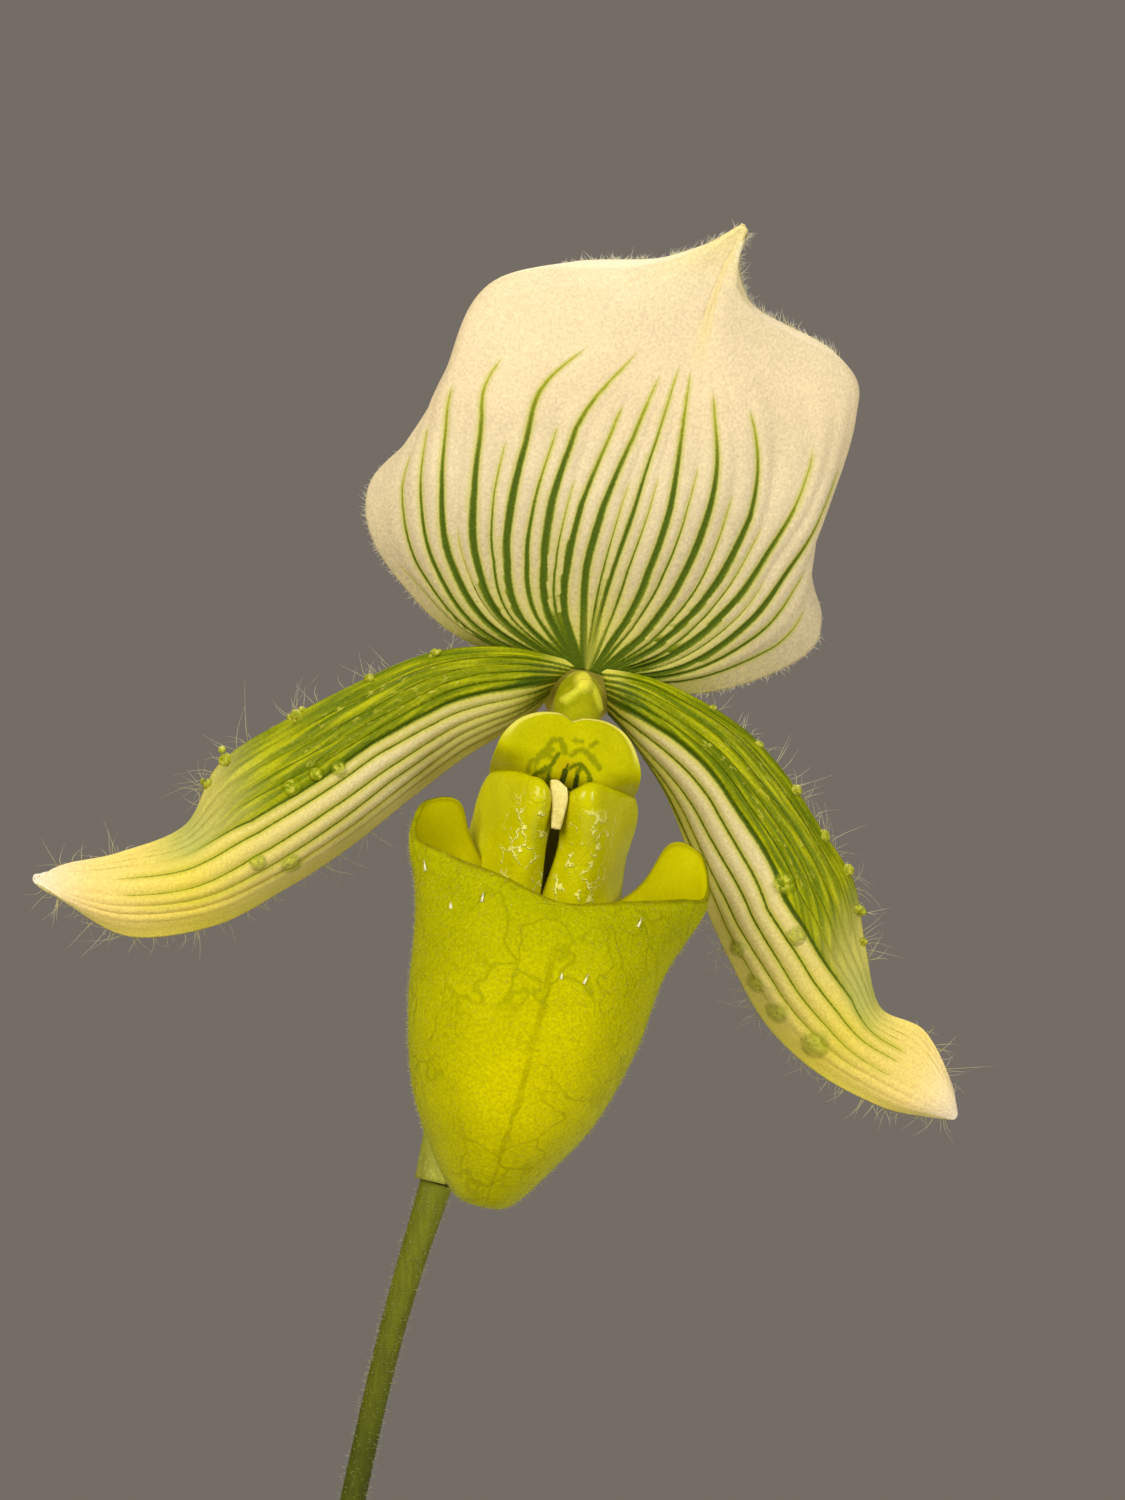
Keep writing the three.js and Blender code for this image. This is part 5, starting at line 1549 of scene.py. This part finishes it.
def mark_petal(mesh, plain, patches, border):
    """The fresh green part above the border vein, with its scaly ridges, and the rough patches."""
    u, v = marks_of(mesh)
    line = np.interp(v, PETAL_LEVELS, border)
    green = smooth_step(u, line - 0.1, line + 0.06) * (1 - smooth_step(v, 0.5 - 0.03 * u, 0.74 - 0.08 * u))
    green = green * smooth_step(v, 0.015, 0.06)
    ridges = sum(bell(u, line + share * (1 - line), 0.07) for share in (0.3, 0.52, 0.74))
    rough = np.clip(ridges, 0, 1) * green * smooth_step(v, 0.12, 0.2) * (1 - smooth_step(v, 0.4, 0.5))
    # Where the painted sheen lies: the upper half of the blade, about two thirds along it
    jog = smooth_step(u, 0.1, 0.6) * bell(v, 0.66, 0.06)
    mark(mesh, green=green, wart=wart_field(patches, plain, u, v), rough=rough, jog=jog)


def build_petal(side, petal, places, veins, border, stretches, seed):
    """The left sheet's normal faces the viewer and the right one's faces away."""
    front = 1 if side == "left" else -1
    warts, patches = places
    plain = placed(petal)
    furrows = pleats(veins, PETAL_LEVELS, PETAL_FURROW)

    def relief(u, v):
        lumps = wart_field(patches, plain, u, v) ** 1.3 * PATCH_HEIGHT
        return (furrows(u, v) + lumps) * front

    piece, u, v = add_sheet(f"{side}_petal_blade", raised(plain, relief), PETAL_GRID,
                            [petal_front, petal_back], f"petal_{side}", turned=front < 0)
    mark_veins(piece.data, plain, veins, PETAL_LEVELS)
    mark_petal(piece.data, plain, patches, border)
    thicken(piece, PETAL_THICKNESS, margin_shares(u, v))
    bm = bmesh.new()
    chance = np.random.default_rng(seed + WART_SEED_STEP)
    for along, size in warts:
        middle = plain(np.array([0.985]), np.array([along]))[0]
        wart_cluster(bm, middle, size, chance)
    add_piece(f"{side}_petal_warts", mesh_of(f"{side}_petal_warts", bm), [wart_skin])
    fringe(f"{side}_petal_hairs", plain, petal_hair, stretches, seed, curl=0.3)


# Lip

LIP_CENTRE = -0.7
# Each level of the pouch: height, middle, half width, front and back
POUCH_LEVELS = [
    (-54.8, -1, 0.9, -20.6, -18.8),
    (-54, -1.2, 3.1, -23, -15.6),
    (-50, -1.3, 6.1, -26.2, -11.4),
    (-44, -1.15, 9.5, -28.6, -8.6),
    (-36, -0.9, 11.8, -29.6, -6.2),
    (-28.5, -0.7, 12.9, -28, -4.4),
]
# Each column climbs from the toe to the free edge: its angle from the front and the points at its
# top, first on the left and then on the right where that side differs
LIP_COLUMNS = [
    (0, [(0, -27.2, -25.4), (0, -26.4, -23.7), (0, -25.4, -22.4)], None),
    (28, [(6.6, -25.2, -24.8), (6.7, -24.3, -22.9), (6.6, -23, -21)], None),
    (54, [(11.4, -20.6, -24.2), (11.7, -19.8, -22), (11.8, -18.4, -20.2)],
     [(12.2, -20.6, -24.2), (12.6, -19.8, -21.9), (12.8, -18.6, -19.6)]),
    (78, [(13.7, -15.2, -24), (14.9, -14.4, -21), (15.4, -13.2, -18.6)],
     [(14.8, -14.8, -24), (16.2, -14, -20.8), (16.8, -12.8, -18.4)]),
    (96, [(13.4, -10.4, -23.4), (14.6, -10.2, -18.8), (14.2, -9.8, -15.2)],
     [(14.4, -10.4, -23.4), (15.6, -10.2, -18.2), (15.2, -9.6, -14.3)]),
    (108, [(12.4, -8.4, -23.4), (12.2, -8.4, -18.4), (10.9, -8.4, -14.7)],
     [(13, -8.4, -23.4), (13.2, -8.4, -18.4), (12.2, -8.4, -14.3)]),
    (119, [(10.6, -7.4, -24.4), (9.8, -7.6, -20.8), (8.6, -7.6, -18.4)],
     [(11.2, -7.4, -25), (10.6, -7.6, -22), (10, -7.6, -19.6)]),
    (136, [(8.4, -5.6, -23.4), (4.5, -12, -24.6), (1.2, -10.4, -26.6)],
     [(9, -5.6, -23.4), (4.6, -12, -24.6), (0.5, -10.4, -26.6)]),
    (154, [(8.3, -4.2, -17), (4.2, -12.8, -16.6), (1.3, -11.2, -17.2)],
     [(8.2, -4.2, -17), (3.8, -12.8, -16.6), (0.3, -11.2, -17.2)]),
    (166, [(7.8, -4.6, -12.4), (4.2, -12.4, -10.7), (2.1, -11.8, -12)],
     [(8, -4.6, -12), (3, -12.4, -9.9), (0.3, -11.8, -11.2)]),
    (173, [(5.8, -2.4, -12.8), (6, -6.4, -12.2), (4.2, -9.2, -12.8)],
     [(5.8, -2.4, -12.6), (5.8, -6.4, -11.8), (4, -9.2, -12.4)]),
    (180, [(0, -1.6, -16.2), (0, 0, -10), (0, 2.1, -4.6)], None),
]
# Pale slivers stuck on the pouch, as places across and up
LIP_SPECKS = [
    (-14, -22.3), (-13.3, -24.4), (-11.1, -25.6), (-8.4, -24.2), (7.5, -23.3), (0.5, -30.1), (2.9, -30.1),
]
SPECK_LENGTH = 1.3
SPECK_RADIUS = 0.22
SPECK_SEED = 67


def lip_column(column, side):
    angle, left, right = column
    turn = math.radians(angle)
    low = []
    for z, middle, half, front, back in POUCH_LEVELS:
        y = (front + back) / 2 - (back - front) / 2 * math.cos(turn)
        low.append((middle + side * half * math.sin(turn), y, z))
    top = right if side > 0 and right else left
    return low + [(LIP_CENTRE + side * x, y, z) for x, y, z in top]


def lip_net():
    """The columns run once round, with three repeated at either end so that the seam is smooth."""
    around = [(-column[0] / 180, lip_column(column, -1)) for column in LIP_COLUMNS[::-1][:-1]]
    around += [(column[0] / 180, lip_column(column, 1)) for column in LIP_COLUMNS[:-1]]
    before = [(at - 2, net) for at, net in around[-3:]]
    after = [(at + 2, net) for at, net in around[:3]]
    loop = before + around + after
    return net_sheet([net for _, net in loop], [at for at, _ in loop])


def build_specks(net):
    """Each speck lies on the front of the pouch, at the sheet's place nearest to it."""
    u, v = (grid.ravel() for grid in np.meshgrid(np.linspace(-0.6, 0.6, 240), np.linspace(0.3, 0.98, 160)))
    points = net(u, v)
    picks = [np.argmin((points[:, 0] - x) ** 2 + (points[:, 2] - z) ** 2) for x, z in LIP_SPECKS]
    u, v = u[picks], v[picks]
    sheet = placed(net)
    _, up = slopes_of(sheet, u, v)
    sway = np.random.default_rng(SPECK_SEED).normal(0, 0.12, up.shape)
    roots = sheet(u, v) + normal_of(sheet, u, v) * LIP_THICKNESS * 0.6
    lengths = np.full(len(u), SPECK_LENGTH)
    mesh = hair_mesh("lip_specks", roots, unit(unit(up) + sway), lengths, up * 0, SPECK_RADIUS)
    add_piece("lip_specks", mesh, [speck_skin])


def build_lip():
    net = lip_net()
    plain = placed(net)
    piece, u, v = add_sheet("lip_pouch", plain, LIP_GRID, [lip_outside, lip_inside], "lip", ring=True)
    x, y, z = net(u, v).T
    side = np.abs(u)
    roll = smooth_step(side, 0.69, 0.74) * smooth_step(v, 0.68, 0.76)
    # Painted light: glow is highest on the front of the pouch a little below its middle and falls away
    # towards its sides
    glow = bell(u, 0.02, 0.3) * bell(v, 0.42, 0.2)
    off_middle = np.abs(x - LIP_CENTRE)
    front = smooth_step(y, -8.5, -9.5) * smooth_step(off_middle, 0.4, 1) * smooth_step(off_middle, 5.8, 4.8)
    squiggle = roll * front * smooth_step(z, -12, -13.5) * smooth_step(z, -24.5, -22)
    mark(piece.data, roll=roll, glow=glow, squiggle=squiggle)
    thicken(piece, LIP_THICKNESS, 1 - 0.45 * smooth_step(v, 0.9, 1))
    fuzz("lip_fuzz", plain, pale_fuzz, FINE_HAIR, count=6500, seed=61, lengths=(0.3, 0.6),
         lift=LIP_THICKNESS / 2 - 0.05, v_range=(0.02, 0.98),
         allow=lambda u, v: (np.abs(u) < 0.68) | (v < 0.6))
    build_specks(net)


# Column: the shield, its stalk, the tooth below it and two anthers behind

SHIELD_MIDDLE = (-1.2, -12.6, -7)
SHIELD_HALF = 8
SHIELD_RISE = 3.8
SHIELD_SIDE_CURL = 1.3
SHIELD_TOP_CURL = 0.4
SHIELD_RIM = 0.16
SHIELD_TUCK = 1.8
CORNER_TUCK = 4
SHIELD_EDGE = [
    (-9.1, -10), (-9.3, -8.6), (-8.9, -6.6), (-7.8, -4.8), (-5.9, -3.6), (-3.7, -3.2), (-2.1, -3.7),
    (-0.7, -3.1), (1.7, -3), (3.8, -3.8), (5.4, -5.6), (6.4, -8), (6.7, -10.2), (6, -11.1),
    (4.7, -11.5), (3, -11.6), (1.2, -11.4), (-0.1, -11), (-1.2, -11), (-2.5, -11.2), (-4.4, -11.6),
    (-6.2, -11.6), (-7.4, -11.4), (-8.5, -11),
]
SHIELD_LOOP = SHIELD_EDGE[-2:] + SHIELD_EDGE + SHIELD_EDGE[:3]
SHIELD_STEPS = [-1 + 2 * (i - 2) / len(SHIELD_EDGE) for i in range(len(SHIELD_LOOP))]
# Green lines on the shield: half width, then points across and up
SHIELD_STROKES = [
    (0.17, [(-4.67, -10.33), (-4.52, -9.53), (-3.84, -9.16), (-3.29, -8.71), (-3.12, -8.02), (-2.82, -7.41)]),
    (0.15, [(-3.45, -8.97), (-3.17, -10.21)]),
    (0.17, [(-1.34, -8.61), (-0.99, -8.2), (-0.29, -7.94), (0.25, -8.36), (0.68, -8.81), (1.13, -9.36),
            (1.38, -9.96)]),
    (0.2, [(-0.24, -8.14), (-0.49, -8.96), (-0.33, -9.9)]),
]
SHIELD_DROPS = [
    (0.33, [(-1.79, -9.03), (-1.77, -10.33)]),
    (0.27, [(-0.42, -9.27), (-0.26, -10)]),
    (0.12, [(-1.79, -9.03), (-1.64, -8.24)]),
]
SHIELD_NET = [
    (0.16, [(-4.77, -8.94), (-4.77, -7.96), (-4.26, -7.3), (-3.56, -7.04)]),
    (0.16, [(-4.05, -6.82), (-3.75, -6.21), (-3.04, -5.94), (-2.59, -6.49), (-2.24, -7.07)]),
    (0.14, [(-5.3, -9.49), (-5.28, -8.62)]),
    (0.14, [(-4.6, -8.25), (-4.07, -7.69), (-3.58, -7.91)]),
    (0.16, [(-1.54, -7.24), (-1.01, -6.68), (-0.41, -6.44), (0.23, -6.84), (1.02, -7.43), (1.69, -7.93)]),
    (0.14, [(-0.05, -6.58), (0.7, -6.96), (1.28, -7.59)]),
    (0.1, [(-1.45, -5.7), (-0.7, -5.64)]),
    (0.1, [(0.33, -5.84), (0.78, -5.41)]),
]
OCHRE_PATCH = (-1.6, -8.6)
STALK_LINE = [(-0.3, 2.5, -0.9), (-0.6, -1, -0.7), (-1, -5, -2), (-1.2, -10, -5.6), (-1.2, -12, -6.6)]
stalk_radius = profile_of([(0, 1.8), (0.3, 2.5), (0.65, 2.4), (1, 1.6)])
STALK_RIDGE = [(0.1, [(-2.91, -1.71), (-1.37, -0.14), (0.2, 0.32), (1.21, -1.67)])]
STALK_KNOB = [(0.35, [(-1.1, 0.55), (-0.9, 0.8)])]
RIDGE_HEIGHT = 0.3
KNOB_HEIGHT = 0.6
# The tooth's two edges and its middle line, as places across and up
TOOTH_LINES = [
    [(-3.04, -10.29), (-2.75, -11.4), (-2.3, -12.8), (-1.81, -15.23)],
    [(-2.15, -10.2), (-1.85, -11.6), (-1.58, -13.2), (-1.44, -15.28)],
    [(-1.18, -10.75), (-0.9, -11.9), (-0.95, -13.4), (-1.08, -15.2)],
]
TOOTH_DEPTHS = (-12.9, -13.3, -13.4, -13.4)
TOOTH_BULGE = 0.3
TOOTH_THICKNESS = 0.7
ANTHERS = [(-3.4, -7, -5.2), (1.2, -7, -5.2)]
ANTHER_RADIUS = 1.3


def shield_sheet(u, v):
    share = 0.02 + 0.98 * v
    x, z = spline(SHIELD_STEPS, SHIELD_LOOP, u).T
    x = SHIELD_MIDDLE[0] + share * (x - SHIELD_MIDDLE[0])
    z = SHIELD_MIDDLE[2] + share * (z - SHIELD_MIDDLE[2])
    side = np.abs(x - SHIELD_MIDDLE[0]) / SHIELD_HALF
    height = np.maximum(0, z - SHIELD_MIDDLE[2]) / SHIELD_RISE
    tuck = SHIELD_TUCK * smooth_step(z, -9, -11)
    tuck = tuck + CORNER_TUCK * smooth_step(side, 0.35, 0.95) * smooth_step(z, -7.5, -11)
    y = SHIELD_MIDDLE[1] + SHIELD_SIDE_CURL * side ** 2.2 + SHIELD_TOP_CURL * height ** 2 + tuck
    return np.stack([x, y, z], axis=1)


def shield_relief(u, v):
    """A swollen rim along the top."""
    z = shield_sheet(u, v)[:, 2]
    return -SHIELD_RIM * bell(v, 0.93, 0.07) * smooth_step(z, -7.5, -5)


def build_shield():
    piece, u, v = add_sheet("shield_plate", placed(raised(shield_sheet, shield_relief)), SHIELD_GRID,
                            [shield_skin], "column", ring=True)
    x, _, z = shield_sheet(u, v).T
    # rim: the cream band along the top, partly the rim's own colour and partly a painted highlight
    mark(piece.data, stroke=stroke_distance(SHIELD_STROKES, x, z), drop=stroke_distance(SHIELD_DROPS, x, z),
         net=stroke_distance(SHIELD_NET, x, z), rim=smooth_step(v, 0.86, 0.96) * smooth_step(z, -7.5, -5.5),
         ochre=0.7 * bell(x, OCHRE_PATCH[0], 1.4) * bell(z, OCHRE_PATCH[1], 0.9))
    thicken(piece, SHIELD_THICKNESS, 1 - 0.3 * smooth_step(v, 0.8, 1))


def build_stalk():
    plain = tube_sheet(curve_through(STALK_LINE), round_by(stalk_radius), SHORT_RINGS)

    def swellings(u, v):
        x, _, z = plain(u, v).T
        ridge = 1 - smooth_step(stroke_distance(STALK_RIDGE, x, z), 0, 0.5)
        knob = 1 - smooth_step(stroke_distance(STALK_KNOB, x, z), 0, 0.9)
        return ridge, knob

    def relief(u, v):
        ridge, knob = swellings(u, v)
        return RIDGE_HEIGHT * ridge + KNOB_HEIGHT * knob

    piece, u, v = add_sheet("column_stalk", placed(raised(plain, relief)), STALK_GRID,
                            [stalk_skin], "column", ring=True)
    ridge, knob = swellings(u, v)
    mark(piece.data, ridge=ridge, knob=knob)


def build_tooth():
    columns = [[(x, y, z) for (x, z), y in zip(line, TOOTH_DEPTHS)] for line in TOOTH_LINES]
    flat = net_sheet(columns, (-1, 0, 1))

    def bulge(u, v):
        return TOOTH_BULGE * (1 - u * u)

    piece, u, v = add_sheet("column_tooth", placed(raised(flat, bulge)), TOOTH_GRID,
                            [tooth_skin], "column")
    thicken(piece, TOOTH_THICKNESS, 1 - 0.5 * smooth_step(np.abs(u), 0.5, 1))


def build_anthers():
    bm = bmesh.new()
    for middle in ANTHERS:
        place = Matrix.Translation(Vector(on_flower([middle])[0]) * MM)
        bmesh.ops.create_icosphere(bm, subdivisions=4, radius=ANTHER_RADIUS * MM, matrix=place)
    add_piece("anthers", mesh_of("anthers", bm), [anther_skin], ["column"])


# Floor, light and camera. Their places and sizes are in metres.

FLOOR_RADIUS = 1.45
AIM = (0.03, 0, 0.33)
# Each light: name, place, size, power in watts and colour
LIGHTS = [
    ("key", (-0.48, -0.85, 0.92), (0.7, 0.7), 12.2, (1, 0.98, 0.93)),
    ("fill", (0.95, -0.8, 0.7), (0.35, 0.7), 7.6, (0.95, 0.98, 1)),
    ("top", (0.1, 0.55, 1.0), (0.6, 0.6), 6.4, (1, 1, 1)),
]
CAMERA_PLACE = (0.0295475, -0.5, 0.33846)
# The lens, from lengths in millimetres: FRAME_HEIGHT is what the picture shows at CAMERA_DISTANCE
CAMERA_DISTANCE = 480
FRAME_HEIGHT = 163.5
SENSOR = 36


def build_stage():
    bm = bmesh.new()
    bmesh.ops.create_circle(bm, cap_ends=True, segments=128, radius=FLOOR_RADIUS)
    floor = new_object("floor", mesh_of("floor", bm))
    floor.data.materials.append(floor_finish().material)
    world = bpy.data.worlds.new("studio")
    world.use_nodes = True
    world.node_tree.nodes["Background"].inputs["Color"].default_value = paint(116, 109, 101)
    bpy.context.scene.world = world
    bpy.context.scene.view_settings.view_transform = "Standard"


def add_light(name, place, size, power, colour):
    light = bpy.data.lights.new(name, "AREA")
    light.shape = "RECTANGLE"
    light.size, light.size_y = size
    light.energy = power
    light.color = colour
    lamp = new_object(name, light)
    lamp.location = place
    lamp.rotation_euler = (Vector(AIM) - Vector(place)).to_track_quat("-Z", "Y").to_euler()


def build_camera():
    view = bpy.data.cameras.new("camera")
    view.sensor_width = SENSOR
    view.lens = SENSOR * CAMERA_DISTANCE / FRAME_HEIGHT
    view.clip_start = 0.01
    view.clip_end = 20
    camera = new_object("camera", view)
    camera.location = CAMERA_PLACE
    camera.rotation_euler = (math.radians(90), 0, 0)
    bpy.context.scene.camera = camera


build_pot()
build_crown()
build_bark()
build_leaves()
build_stem()
build_dorsal()
build_synsepal()
build_petal("left", LEFT_PETAL, (LEFT_WARTS, LEFT_PATCHES), LEFT_VEINS, LEFT_BORDER, LEFT_FRINGE, 51)
build_petal("right", RIGHT_PETAL, (RIGHT_WARTS, RIGHT_PATCHES), RIGHT_VEINS, RIGHT_BORDER, RIGHT_FRINGE, 53)
build_lip()
build_shield()
build_stalk()
build_tooth()
build_anthers()
build_stage()
for light in LIGHTS:
    add_light(*light)
build_camera()
